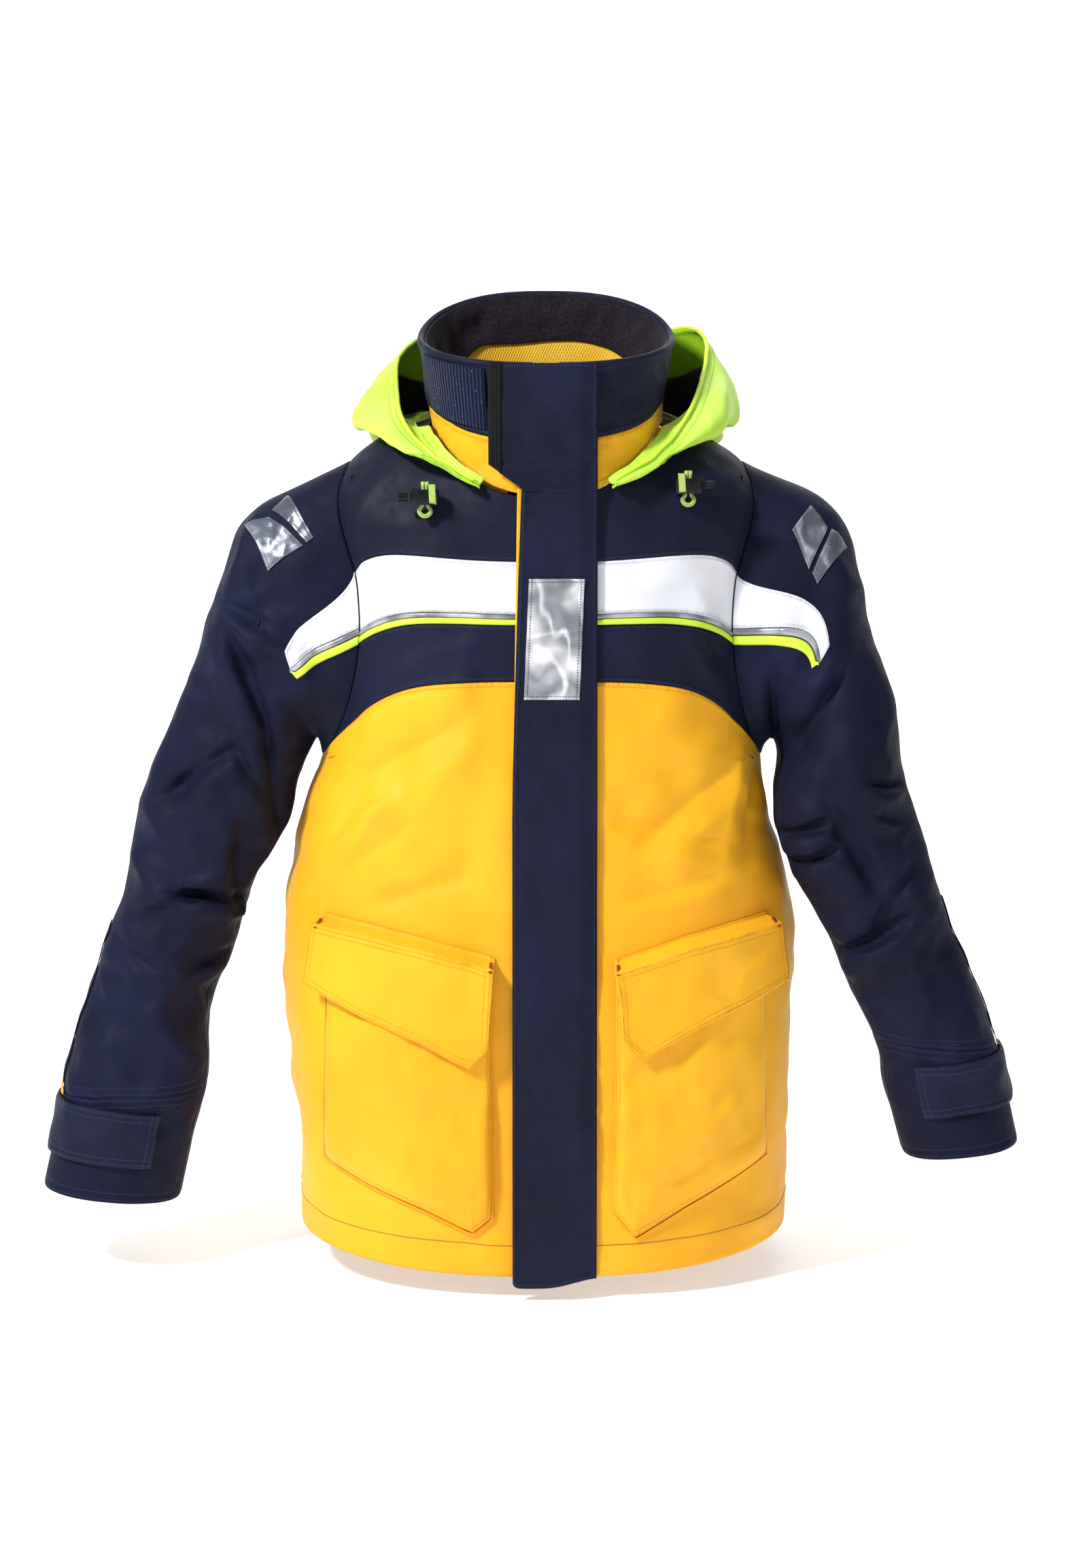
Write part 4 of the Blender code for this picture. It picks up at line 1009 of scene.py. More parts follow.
def collar():
    """The yellow base, the navy outside, and the patch of hook and loop that the tab closes on."""
    start = float(front_turn(FRONT_EDGE, NECK))
    around = np.linspace(start, 2 * math.pi - start, 240)
    seam = collar_seam(around)
    for name, low, high, rows, lift, thick, finish in (
            ("collar_base", 0.004 + 0 * seam, seam - 0.002, 22, 0.0, CLOTH, "yellow"),
            ("collar_shell", seam, COLLAR_RIM + 0 * seam, 30, 0.0012, 0.0026, "navy")):
        rise = low + (high - low) * as_column(0, 1, rows)
        points = plain_collar(around[None, :], rise)
        wave = 0.0009 * ripple(points, 0.07, 21) + 0.0006 * facets(points, 0.03, 22)
        panel(name, points, thick, finish, lift=lift + wave * (1 - rise**4))
    collar_inside()
    rim = plain_collar(around, COLLAR_RIM)
    bead("collar_rim", rim + (0, 0, 0.0004), 0.0034, "navy", inward=0.0012)
    patch_turns = np.linspace(-1.15, -0.40, 90)
    low = collar_seam(patch_turns) + 0.05
    rise = low + (0.95 - low) * as_column(0, 1, 60)
    points = plain_collar(patch_turns[None, :], rise)
    panel("collar_loop_patch", points, 0.0012, "ribbed", lift=0.0038, dip=0.0005)


def collar_inside():
    """The fleece, lower at the sides of the neck than behind it, and the yellow facing under it."""
    start = float(front_turn(0.030, NECK))
    inside = np.linspace(start, 2 * math.pi - start, 220)
    t = as_column(0, 1, 40)
    low = 0.10 + 0.44 * smoothstep(1.6, 2.7, np.minimum(inside, 2 * math.pi - inside))[None, :]
    low = low + 0.015 * np.sin(inside * 9)[None, :]
    points = plain_collar(inside[None, :], low + (COLLAR_RIM - low) * t)
    gather = 0.0014 * facets(points, 0.035, 23) * np.sin(np.pi * t)
    soft = (0.0010 * ripple(points, 0.05, 23) - 0.0022) * np.sin(np.pi * t) - gather
    panel("collar_lining", points, 0.0030, "fleece", lift=-0.0036 + soft, sewn="")
    points = plain_collar(inside[None, :], 0.02 + (low - 0.02) * t + 0.07 * t)
    panel("neck_facing", points, 0.0010, "lining", lift=-0.0030, sewn="")


def bead(name, path, radius, finish, node=None, inward=0.0, sides=12):
    """A round edge or cord swept along a path, with its ends closed."""
    along = unit(np.gradient(path, axis=0))
    out = from_axis(path - path.mean(axis=0))
    across = unit(np.cross(along, np.cross(out, along)))
    over = np.cross(along, across)
    turn = as_column(0, 2 * math.pi, sides + 1)
    ring = across[:, None] * np.cos(turn) + over[:, None] * np.sin(turn)
    points = path[:, None] + ring * np.reshape(radius, (-1, 1, 1)) - (unit(out) * inward)[:, None]
    rows, columns = points.shape[:2]
    last = (rows - 1) * columns
    caps = [list(range(sides)), list(range(last, last + sides))]
    made = welded(name, points.reshape(-1, 3), grid_quads(rows, columns) + caps, finish)
    write_bead(made.data, path - HANG_LOOP)
    return place(made, node or name, "jacket")


def write_bead(mesh, path):
    """Cloth places for a swept edge: round it and along it, with no sewn edge near."""
    points = np.array([v.co for v in mesh.vertices])
    near = np.array([np.argmin(((path - p) ** 2).sum(-1)) for p in points])
    travelled = np.concatenate([[0], np.cumsum(np.linalg.norm(np.diff(path, axis=0), axis=1))])
    offset = points - path[near]
    uv = np.stack([np.arctan2(offset[:, 2], offset[:, 1]) * 0.002, travelled[near]], -1)
    write_places(mesh, uv, np.ones((len(points), 3)))



# ---------------------------------------------------------------- storm flap and zip

FLAP_THICK, FLAP_HEIGHT = 0.0024, 0.0078


def flap_lift(x):
    """How far the flap stands off the zip: least along its sewn edge."""
    heights = (0.0060, 0.0072, FLAP_HEIGHT, FLAP_HEIGHT, 0.0036)
    return np.interp(x, (FLAP_LEFT, -0.026, -0.018, 0.030, FLAP_SEWN), heights)


def flap_wave(x, z):
    """Slight waves of the flap: a crease by its sewn edge low down, and a soft roll at the free edge."""
    soft = 0.0007 * ripple(on_plane(x, z), 0.09, 31) + 0.0004 * ripple(on_plane(x, z), 0.035, 32)
    crease = sum(
        depth * np.exp(-((z - (at - 0.45 * (0.040 - x))) / 0.0045) ** 2) * smoothstep(0.002, 0.035, x)
        for at, depth in ((0.225, -0.0016), (0.185, -0.0020), (0.145, -0.0014)))
    return np.minimum(soft + crease, 0.0009)


def flap_left(z):
    """The flap's free edge: straight, then drawing in towards the neck."""
    rise = np.maximum(0.0, (z - FLAP_NARROWS_FROM) / (FLAP_TOP - FLAP_NARROWS_FROM))
    return FLAP_LEFT + FLAP_NARROWS * rise**1.3


def storm_flap():
    """The storm flap with its collar tab, the tab's bound end and the chest reflector, the last two attached
    to the storm_flap body; then the inner flap and the front facing strip.
    """
    t = as_column(0, 1, 300)
    share = np.concatenate([np.linspace(0, 0.13, 8)[:-1], np.linspace(0.13, 1, 32)])[None, :] + 0 * t
    left = flap_left(FLAP_FOOT + (FLAP_TOP - FLAP_FOOT) * t)
    x = left + (FLAP_SEWN - left) * share
    corner = 0.0040 * (1 - np.sqrt(np.clip(1 - (1 - share / 0.10).clip(0, 1) ** 2, 0, 1)))
    foot = FLAP_FOOT + 0.0080 * smoothstep(0.35, 1.0, share) + corner
    z = foot + (FLAP_TOP - foot) * t
    points = centre_point(x, z, flap_lift(x) + flap_wave(x, z))
    flap = panel("storm_flap", points, FLAP_THICK, "navy", away=FORWARD, body=None, sewn="lrb", dip=0.0005)
    tip = float(flap_left(FLAP_TOP))
    tab = collar_tab(tip)
    stiff = [tab_binding(tip), chest_reflector()]
    hinge = centre_point(FLAP_SEWN, 0.4, 0.0040) - HANG_LOOP
    for piece in (flap, tab):
        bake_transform(piece)
    for piece in stiff:
        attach(piece, "storm_flap")
    inner_storm_flap()
    facing_strip()


def collar_tab(tip):
    """The wider head of the flap, over the collar."""
    shoulder = FLAP_TOP - 0.0022
    inner_left = TAB_LEFT + BINDING - 0.0012
    t, across_tab = as_column(0, 1, 66), as_row(0, 1, 44)
    z = shoulder + (COLLAR_TOP + 0.0015 - shoulder) * t + 0 * across_tab
    bend = FLAP_TOP + TAB_SLANT * (tip - inner_left) / (tip - TAB_LEFT)
    left = tip + (inner_left - tip) * np.clip((z - FLAP_TOP) / (bend - FLAP_TOP), 0, 1)
    x = left + (FLAP_SEWN - left) * across_tab
    crease = -0.0018 * np.exp(-((z - 0.7655) / 0.003) ** 2)
    crease = crease - 0.0008 * np.exp(-((z - 0.7800 - 0.2 * x) / 0.003) ** 2)
    over = 0.0007 * (1 - smoothstep(FLAP_TOP, FLAP_TOP + 0.012, z))
    lift = np.where(x < 0.03, FLAP_HEIGHT, flap_lift(x)) + crease + over
    points = centre_point(x, z, lift + 0.0005 * ripple(on_plane(x, z), 0.04, 33))
    return panel("collar_tab", points, FLAP_THICK, "navy", away=FORWARD, body=None, sewn="rt")


def tab_binding(tip):
    """The black binding of the tab's free end, its foot on the same slant as the tab's."""
    width = as_row(0, 1, 9)
    foot = FLAP_TOP + 0.0004 + TAB_SLANT * (tip - TAB_LEFT - BINDING * width) / (tip - TAB_LEFT)
    z = foot + (COLLAR_TOP + 0.0020 - foot) * as_column(0, 1, 44)
    x = TAB_LEFT + BINDING * width + 0 * z
    roll = 0.0010 * np.sqrt(np.maximum(0, 1 - (2 * width - 1) ** 4))
    points = centre_point(x, z, FLAP_HEIGHT + roll)
    return panel("tab_binding", points, 0.0030, "tape", away=FORWARD, body=None, sewn="lr", dip=0)


def chest_reflector():
    """A rectangle of film on the flap, leaning a little, with one crease across it."""
    middle, half = 0.611, 0.053
    x, z = np.meshgrid(np.linspace(-0.0165, 0.0325, 50), np.linspace(middle - half, middle + half, 90))
    x = x + 0.0022 * (z - 0.61) / half - 0.0008
    share = (z - middle) / half
    crinkle = 0.0005 * facets(on_plane(x, z), 0.030, 34)
    crinkle = crinkle - 0.0006 * np.exp(-((share - 0.05 - 3 * x) / 0.05) ** 2)
    points = centre_point(x, z, 0.0092 + flap_wave(x, z) + crinkle)
    return panel("chest_reflector", points, 0.0006, "chest_film", away=FORWARD, body=None, dip=0.0004)


def inner_storm_flap():
    """The plain flap behind the zip."""
    z = as_column(HEM + 0.006, COLLAR_TOP - 0.020, 200)
    x = as_row(-0.034, 0.034, 24) + 0 * z
    points = centre_point(x, z + 0 * x, -0.0105 + 0.0005 * ripple(on_plane(x, z), 0.06, 35))
    panel("inner_storm_flap", points, 0.0012, "navy", away=FORWARD, sewn="lr")


def facing_strip():
    """The yellow front edge that shows as a sliver beside the free edge of the flap."""
    foot, top = 0.50, FLAP_TOP + 0.0006
    z = as_column(foot, top, 90)
    left = FLAP_LEFT + 0.0012 + 0.0036 * (z - foot) / (top - foot)
    x = left + as_row(0, 0.012, 8)
    points = centre_point(x, z + 0 * x, 0.0030 + 0 * x)
    panel("front_facing_edge", points, 0.0010, "yellow", away=FORWARD, sewn="l", dip=0.0004)


def teeth():
    """A moulded zip: one tooth after another down each tape, the two rows half a step apart."""
    pitch, foot, top = 0.0030, HEM + 0.009, COLLAR_TOP - 0.032
    for side, sign in SIDE.items():
        shape = bmesh.new()
        start = foot + (pitch / 2 if sign > 0 else 0)
        for z in np.arange(start, top, pitch):
            middle = centre_point(sign * 0.0024, z, -0.0035)
            made = bmesh.ops.create_cube(shape, size=1.0)["verts"]
            bmesh.ops.scale(shape, verts=made, vec=(0.0025, 0.0026, 0.0014))
            bmesh.ops.translate(shape, verts=made, vec=middle - HANG_LOOP)
        bmesh.ops.bevel(shape, geom=shape.edges[:], offset=0.0003, segments=1, affect="EDGES")
        mesh = bpy.data.meshes.new(f"zip_teeth_{side}")
        shape.to_mesh(mesh)
        shape.free()
        row = linked(f"zip_coil_{side}", mesh, LOOK["plastic"])
        place(row, f"zip_teeth_{side}", "jacket")
        z = as_column(HEM + 0.008, COLLAR_TOP - 0.012, 160)
        x = sign * as_row(0.0030, 0.0190, 8) + 0 * z
        points = centre_point(x, z + 0 * x, -0.0038)
        panel(f"zip_tape_cloth_{side}", points, 0.0007, "tape", away=FORWARD, node=f"zip_tape_{side}",
              sewn="", dip=0)



# ---------------------------------------------------------------- pockets

# columns from the side to the zip: top x, z and bottom x, z
POCKET = {
    "R": {
        "flap": [(-0.1990, 0.3490, -0.2060, 0.2940), (-0.1600, 0.3450, -0.1650, 0.2740),
                 (-0.1100, 0.3355, -0.1130, 0.2530), (-0.0640, 0.3245, -0.0660, 0.2301),
                 (-0.0455, 0.3200, -0.0502, 0.2467)],
        "bag": [(-0.1960, 0.3350, -0.1990, 0.1280), (-0.1600, 0.3310, -0.1600, 0.1130),
                (-0.1100, 0.3210, -0.1100, 0.0972), (-0.0660, 0.3105, -0.0648, 0.0779),
                (-0.0490, 0.3060, -0.0475, 0.0933)],
    },
    "L": {
        "flap": [(0.1990, 0.3480, 0.2040, 0.2950), (0.1650, 0.3440, 0.1690, 0.2790),
                 (0.1230, 0.3360, 0.1260, 0.2610), (0.0850, 0.3245, 0.0835, 0.2380),
                 (0.0607, 0.3171, 0.0658, 0.2560)],
        "bag": [(0.1950, 0.3350, 0.1975, 0.1290), (0.1650, 0.3310, 0.1650, 0.1150),
                (0.1230, 0.3220, 0.1230, 0.0970), (0.0810, 0.3100, 0.0791, 0.0735),
                (0.0630, 0.3040, 0.0600, 0.0970)],
    },
}
POCKET_DEPTH, POCKET_EDGE = 0.0150, 0.0034


def on_front(body, x, z, lift):
    """Points lifted off the front of the shell."""
    points = body(front_turn(x, z), z)
    return points + grid_normals(points, from_axis(points)) * np.broadcast_to(lift, x.shape)[..., None]


def columns_at(columns, count):
    """A pocket's columns filled in to this many: top x and z, bottom x and z."""
    table = np.array(columns)
    knots = np.linspace(0, 1, len(table))
    at = np.linspace(0, 1, count)
    return [np.interp(at, knots, table[:, k]) for k in range(table.shape[1])]


def pocket(side, body):
    """The bag, sewn down at its sides and foot, the flap over its mouth, and the welt it hangs from."""
    top_x, top_z, foot_x, foot_z = columns_at(POCKET[side]["bag"], 90)
    r, c = as_column(0, 1, 100), as_row(-1, 1, 90)
    x, z = top_x + (foot_x - top_x) * r, top_z + (foot_z - top_z) * r
    swell = (1 - np.abs(c) ** 12) * (1 - r**16)
    spots = on_plane(x, z)
    sag = 0.0013 * ripple(spots, 0.07, 41) + 0.0006 * ripple(spots, 0.03, 42) - 0.0012
    tuck = -0.0022 * np.exp(-((r - 0.86) / 0.04) ** 2) * (1 - c**4) * (0.6 + 0.4 * np.sin(c * 9 + 1))
    lift = POCKET_EDGE + (POCKET_DEPTH - POCKET_EDGE) * swell + np.minimum((sag + tuck) * swell, 0.0006)
    panel(f"pocket_bag_{side}", on_front(body, x, z, lift), 0.0012, "pocket", away=FORWARD, sewn="lrt")
    gusset(side, body, x, z, lift)

    top_x, top_z, foot_x, foot_z = columns_at(POCKET[side]["flap"], 110)
    r, c = as_column(0, 1, 46), as_row(-1, 1, 110)
    x, z = top_x + (foot_x - top_x) * r, top_z + (foot_z - top_z) * r
    spots = on_plane(x, z)
    bend = 0.0007 * ripple(spots, 0.08, 43) + 0.0004 * ripple(spots, 0.03, 44)
    hollow = -0.0016 * np.exp(-((r - 0.30) / 0.20) ** 2) * (1 - c**6)
    lift = POCKET_DEPTH + 0.0056 + np.minimum(bend + hollow, 0.0008)
    flap = panel(f"pocket_flap_{side}", on_front(body, x, z, lift), 0.0026, "pocket", away=FORWARD, body=None,
                 dip=0.0007)
    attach(flap, f"pocket_flap_{side}")
    welt(side, body, top_x, top_z)


def gusset(side, body, x, z, lift):
    """The folded side and foot walls that stand the bag off the shell."""
    edge = np.concatenate([np.stack([x[:, 0], z[:, 0]], -1), np.stack([x[-1], z[-1]], -1)[1:],
                           np.stack([x[::-1, -1], z[::-1, -1]], -1)[1:]])
    high = np.concatenate([lift[:, 0], lift[-1, 1:], lift[::-1, -1][1:]])
    t = as_column(0, 1, 4)
    points = body(front_turn(edge[:, 0], edge[:, 1]), edge[:, 1])
    out = unit(from_axis(points))
    wall = points[None] + out[None] * (0.0003 + t * high)[..., None]
    panel(f"pocket_gusset_{side}", wall, 0.0010, "yellow", away=out, sewn="", dip=0)


def welt(side, body, top_x, top_z):
    """A folded strip along the flap's hinge line with a bar tack at each end."""
    t = as_column(0, 1, 14)
    z = top_z + 0.0085 - 0.0115 * t
    x = np.broadcast_to(top_x, z.shape)
    roll = 0.0022 + 0.0175 * smoothstep(0.15, 0.85, t)
    points = on_front(body, x, z, roll + 0 * x)
    panel(f"pocket_welt_{side}", points, 0.0012, "yellow", away=FORWARD, sewn="lr", dip=0.0003)
    above, under = 0.0050, 0.0030
    for end, at in (("outer", 3), ("inner", len(top_x) - 4)):
        x, z = np.meshgrid(top_x[at] + np.linspace(-0.0012, 0.0012, 4),
                           top_z[at] + np.linspace(above, -under, 12))
        lift = np.interp(z, (top_z[at] - under, top_z[at] + above), (0.0212, 0.0125))
        points = on_front(body, x, z, lift)
        panel(f"bar_tack_{side}_{end}", points, LINING, "bar_tack", away=FORWARD, sewn="", dip=0)



# ---------------------------------------------------------------- sleeves

def seam_along(side, phi):
    """Where the cuff seam runs round a sleeve: further down at its outer edge."""
    outer, inner = CUFF_SEAM[side]
    return 1 + (outer + inner) / 2 + (outer - inner) / 2 * np.cos(phi)


def sleeve_points(grid, phi, along):
    """Points of a sleeve, and their directions from its middle."""
    points = grid(phi, along)
    ring = grid(np.arange(4) * (math.pi / 2), np.full(4, np.mean(along)))
    return points, points - ring.mean(axis=0)


def sleeve(side, grid):
    """The sleeve from the armhole to the cuff seam, the cuff, its facing, and all that is sewn on."""
    seam = 2.85
    phi = seam + as_row(0, 2 * math.pi, 132)
    last = len(SLEEVE[side])
    cut = seam_along(side, phi)
    for name, along, thick, finish, lift, sewn in (
            ("sleeve_upper", as_column(0, 1, 240) * (cut - 0.004), CLOTH, "sleeve", 0.0, "lrt"),
            ("sleeve_cuff", cut + as_column(0, 1, 70) * (last - cut), CLOTH, "sleeve", 0.0, "lrbt"),
            ("cuff_facing", last - 0.55 * as_column(1, 0.004, 12) + 0 * cut, 0.0010, "navy", -0.0026, "")):
        points = grid(phi, along)
        away = points - points[:, :-1].mean(axis=1, keepdims=True)
        panel(f"{name}_{side}", points, thick, finish, away=away, lift=lift, sewn=sewn)
    sleeve_trim(side, grid)
    cuff_strap(side, grid)


# the white band on a sleeve, by phi and along: its length, then where its upper and its lower edge
# start and how far each turns
BAND_END = {"R": (0.95, (1.10, 0.57), (1.50, 0.33)), "L": (1.45, (1.12, 0.31), (1.50, 0.07))}
# shoulder reflectors by phi and along: the two ends of the upper edge, then of the lower edge
REFLECTOR = {
    "R": {"inner": ((0.28, 0.54), (0.84, 0.31), (0.37, 0.71), (0.87, 0.39)),
          "outer": ((0.45, 0.75), (0.89, 0.43), (0.35, 1.03), (1.02, 0.88))},
    "L": {"inner": ((0.43, 0.61), (0.77, 0.44), (0.60, 0.83), (1.06, 0.72)),
          "outer": ((0.57, 0.88), (1.08, 0.77), (0.50, 1.18), (1.15, 0.88))},
}


def sleeve_trim(side, grid):
    """The band's tip with its piping, the yellow flash, the forearm strip and the two shoulder reflectors."""
    length, (top, top_move), (foot, foot_move) = BAND_END[side]
    t, k = as_column(0, 1, 70), as_row(0, 1, 26)
    low, high = foot + foot_move * t, top + top_move * t**0.75
    points, away = sleeve_points(grid, high + (low - high) * k, 0.01 + (length - 0.01) * t + 0 * k)
    panel(f"sleeve_band_{side}", points, 0.0012, "white", away=away, lift=0.0014, sewn="lrt")
    for name, gap, wide in (("grey", 0.004, 0.046), ("lime", 0.056, 0.070)):
        k = as_row(0, 1, 7)
        taper = 1 - 0.75 * smoothstep(0.9, 1.0, t)
        phi = low + (gap + wide * k) * taper
        points, away = sleeve_points(grid, phi, 0.01 + (length - 0.01) * t + 0 * k)
        roll = 0.0012 * np.sqrt(np.maximum(0, 1 - (2 * k - 1) ** 2)) + 0 * phi
        panel(f"sleeve_piping_{name}_{side}", points, 0.0012, f"{name}_piping", away=away, lift=0.0010 + roll,
              sewn="", dip=0)

    seam = float(seam_along(side, 0.25))
    t, k = as_column(0, 1, 16), as_row(0, 1, 20)
    points, away = sleeve_points(grid, 0.10 + 0.22 * (1 - 0.8 * t) * k, seam + 0.02 - 0.24 * t + 0 * k)
    panel(f"accent_tab_{side}", points, 0.0010, "yellow", away=away, lift=0.0019, sewn="")
    t = as_column(0, 1, 70)
    points, away = sleeve_points(grid, -0.02 + 0.20 * k + 0 * t, seam - 2.6 + 2.45 * t + 0 * k)
    panel(f"forearm_strip_{side}", points, 0.0010, "ribbed_strip", away=away, lift=0.0014, sewn="")
    for name, corners in REFLECTOR[side].items():
        upper_start, upper_end, lower_start, lower_end = np.array(corners)
        down, over = as_column(0, 1, 32)[..., None], as_row(0, 1, 44)[..., None]
        spot = ((1 - down) * (upper_start + (upper_end - upper_start) * over)
                + down * (lower_start + (lower_end - lower_start) * over))
        points, away = sleeve_points(grid, spot[..., 0], spot[..., 1])
        crinkle = 0.0003 * facets(points, 0.014, 51)
        panel(f"shoulder_reflector_{name}_{side}", points, LINING, "shoulder_film", away=away,
              lift=0.0018 + crinkle, dip=0.0004)


def cuff_strap(side, grid):
    """The adjusting tab round the cuff, sewn at its outer end and held by hook and loop."""
    start, end = -0.20, 2.05
    low, high = (9.55, 8.80) if side == "R" else (9.40, 8.55)
    along, phi = np.meshgrid(np.linspace(low, high, 34), np.linspace(start, end, 110), indexing="ij")
    points, away = sleeve_points(grid, phi, along)
    points = 0.5 * points + 0.5 * unfolded_sleeve(side)(phi, along)
    strap = panel(f"cuff_strap_{side}", points, 0.0022, "strap", away=away, body=None,
                  lift=0.0050 + 0.0004 * ripple(points, 0.04, 52), dip=0.0007)
    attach(strap, f"cuff_strap_{side}")
    patch = np.linspace(end - 0.55, end - 0.05, 30)
    along, phi = np.meshgrid(np.linspace(low - 0.06, high + 0.06, 26), patch, indexing="ij")
    points, away = sleeve_points(grid, phi, along)
    panel(f"cuff_loop_patch_{side}", points, LINING, "ribbed_strip", away=away, lift=0.0012, sewn="")


def unfolded_sleeve(side):
    """The sleeve before its folds, as a surface like the folded one."""
    columns = 64
    phis = np.arange(columns) * (2 * math.pi / columns)
    alongs = np.linspace(0, len(SLEEVE[side]), 60)
    return Grid(phis, alongs, plain_sleeve(side, phis, alongs), wraps=True)



# ---------------------------------------------------------------- hood, cords and cord locks

def plain_hood(turn, across):
    """The lowered hood: across 0 at the neck seam, 0.5 at its lowest fold, 1 at the free face edge."""
    turn, across = np.broadcast_arrays(np.asarray(turn, float), np.asarray(across, float))
    from_front = np.minimum(np.abs(turn), 2 * math.pi - np.abs(turn))
    height, lift, reach, rim_z = np.moveaxis(through(HOOD, from_front), -1, 0)
    right = turn > math.pi
    rim_z = rim_z - np.where(right, HOOD_DROP * np.sin(turn) ** 2, 0)
    reach = reach * np.where(right, 1 - 0.25 * np.sin(turn) ** 2, 1)
    base = NECK - 0.004
    seam = plain_body(turn, base + 0 * turn)
    out = unit(from_axis(seam))
    seam = seam + out * 0.0045 + (0, 0, 0.004)
    low = lifted(plain_body, turn, (base + height) / 2, 0.0055 + 0 * turn)
    low_fold = lifted(plain_body, turn, height, lift)
    rim = np.stack([seam[..., 0], seam[..., 1], rim_z], -1) + out * reach[..., None]
    outer = (low_fold + rim) / 2 + out * 0.010
    knots = np.array([0.0, 0.3, 0.5, 0.75, 1.0])
    rows = np.stack([seam, low, low_fold, outer, rim])
    slopes = np.gradient(rows, knots, axis=0)
    at = np.clip(across, 0, 1)
    i = np.clip(np.searchsorted(knots, at, side="right") - 1, 0, 3)
    span = (knots[i + 1] - knots[i])[..., None]
    t = (at - knots[i])[..., None] / span
    pick = lambda table, k: np.take_along_axis(table, k[None, ..., None], axis=0)[0]
    return between(t, span, pick(rows, i), pick(slopes, i), pick(rows, i + 1), pick(slopes, i + 1))


def clear_of(points, under, gap):
    """The points, moved outward until each is at least this far above the surface under them."""
    rows, columns = under.points.shape[:2]
    tree = BVHTree.FromPolygons(under.points.reshape(-1, 3).tolist(), grid_quads(rows, columns, under.wraps))
    moved = points.copy()
    for at in np.ndindex(points.shape[:2]):
        spot, normal, _, _ = tree.find_nearest(points[at])
        if normal.dot(Vector((spot.x, spot.y, 0.1))) < 0:
            normal = -normal
        short = gap - (Vector(points[at]) - spot).dot(normal)
        if short > 0:
            moved[at] += np.array(normal) * short
    return moved


def hood_grid(body):
    """The hood crumpled and settled, its two halves kept clear of the yoke and of each other."""
    turns = np.linspace(HOOD_END, 2 * math.pi - HOOD_END, 210)
    acrosses = np.linspace(0.02, 1.0, 50)
    turn, across = np.meshgrid(turns, acrosses)
    points = plain_hood(turn, across)
    away = from_axis(points) - (0, 0, 1.0) * (1 - smoothstep(0.4, 0.6, across))[..., None]
    n = grid_normals(points, away)
    free = smoothstep(0.04, 0.22, across)
    ends = smoothstep(HOOD_END, 0.9, np.minimum(turn, 2 * math.pi - turn))
    drape = 0.0040 * np.sin(across * 9 + 2.0 * np.sin(turn * 1.7)) + 0.0060 * facets(points, 0.085, 61)
    crumple = 0.0008 * facets(points, 0.03, 62)
    points = points + n * ((drape + crumple) * free * ends * 0.8)[..., None]
    hold = np.clip(np.maximum(1 - free, (1 - ends) * 0.9), 0, 1)
    hold = np.maximum(hold, 0.5 * smoothstep(0.93, 1.0, across))
    points = settle(points, False, hold, 0.018, 14)
    points = clear_of(points, body, 0.0042)
    under_half = Grid(turns, acrosses, points[:22])
    apart = clear_of(points, under_half, 0.0050)
    points = points + (apart - points) * smoothstep(0.50, 0.64, across)[..., None]
    return Grid(turns, acrosses, points)


def hood(grid):
    """The hood's lime shell with its inner face in a darker lime as painted shade, its dark lining, the
    facings that reach the collar, and the rim.
    """
    turns = np.linspace(HOOD_END, 2 * math.pi - HOOD_END, 250)
    rows = 60
    turn, across = np.meshgrid(turns, np.linspace(0.02, 1.0, rows))
    shell = panel("hood_shell", grid(turn, across), 0.0012, "lime", sewn="t")
    # the shell's inner faces take the darker lime: painted shade inside the hood
    shell.data.materials.append(LOOK["lime_inside"])
    count = (len(turns) - 1) * (rows - 1)
    inside = [int(count <= k < 2 * count) for k in range(len(shell.data.polygons))]
    shell.data.polygons.foreach_set("material_index", inside)
    turn, across = np.meshgrid(np.linspace(1.22, 2 * math.pi - 1.22, 200), np.linspace(0.18, 0.84, 40))
    inset = -0.0016 - 0.0029 * smoothstep(0.52, 0.66, across)
    panel("hood_lining", grid(turn, across), LINING, "dark_lining", lift=inset, sewn="", dip=0)
    for side, sign in SIDE.items():
        turn = sign * as_row(HOOD_END, 1.30, 60) % (2 * math.pi)
        t = as_column(0, 1, 24)
        rim = grid(turn, 0.985)
        seam = plain_collar(turn, 0.05 + 0 * turn)
        seam = seam + unit(from_axis(seam)) * 0.0035
        points = seam + (rim - seam) * t[..., None]
        sag = 0.004 * np.sin(np.pi * t) + 0.0014 * facets(points, 0.03, 63)
        points = points - (0, 0, 1) * sag[..., None]
        panel(f"hood_facing_{side}", points, 0.0010, "lime", away=np.array((0, -0.3, 1.0)), sewn="t", dip=0.0)
    rim = grid(turns, 1.0 + 0 * turns) + (0, 0, 0.0004)
    bead("hood_rim", rim, 0.0020, "lime_piping")


LOCK_PLACE = {"R": (-0.1020, 0.7075), "L": (0.1200, 0.7055)}
LOCK_HALF, LOCK_RADIUS, CORD, CORD_HOLE = 0.0125, 0.0068, 0.0013, 0.0034
BUTTON_HALF, BUTTON_TRAVEL = 0.0040, 0.0027


def lock_place(side):
    """The middle of a cord lock, off the front of the chest."""
    x, height = LOCK_PLACE[side]
    turn = front_turn(np.array([x]), np.array([height]))
    return lifted(plain_body, turn, np.array([height]), np.array([0.0160]))[0]


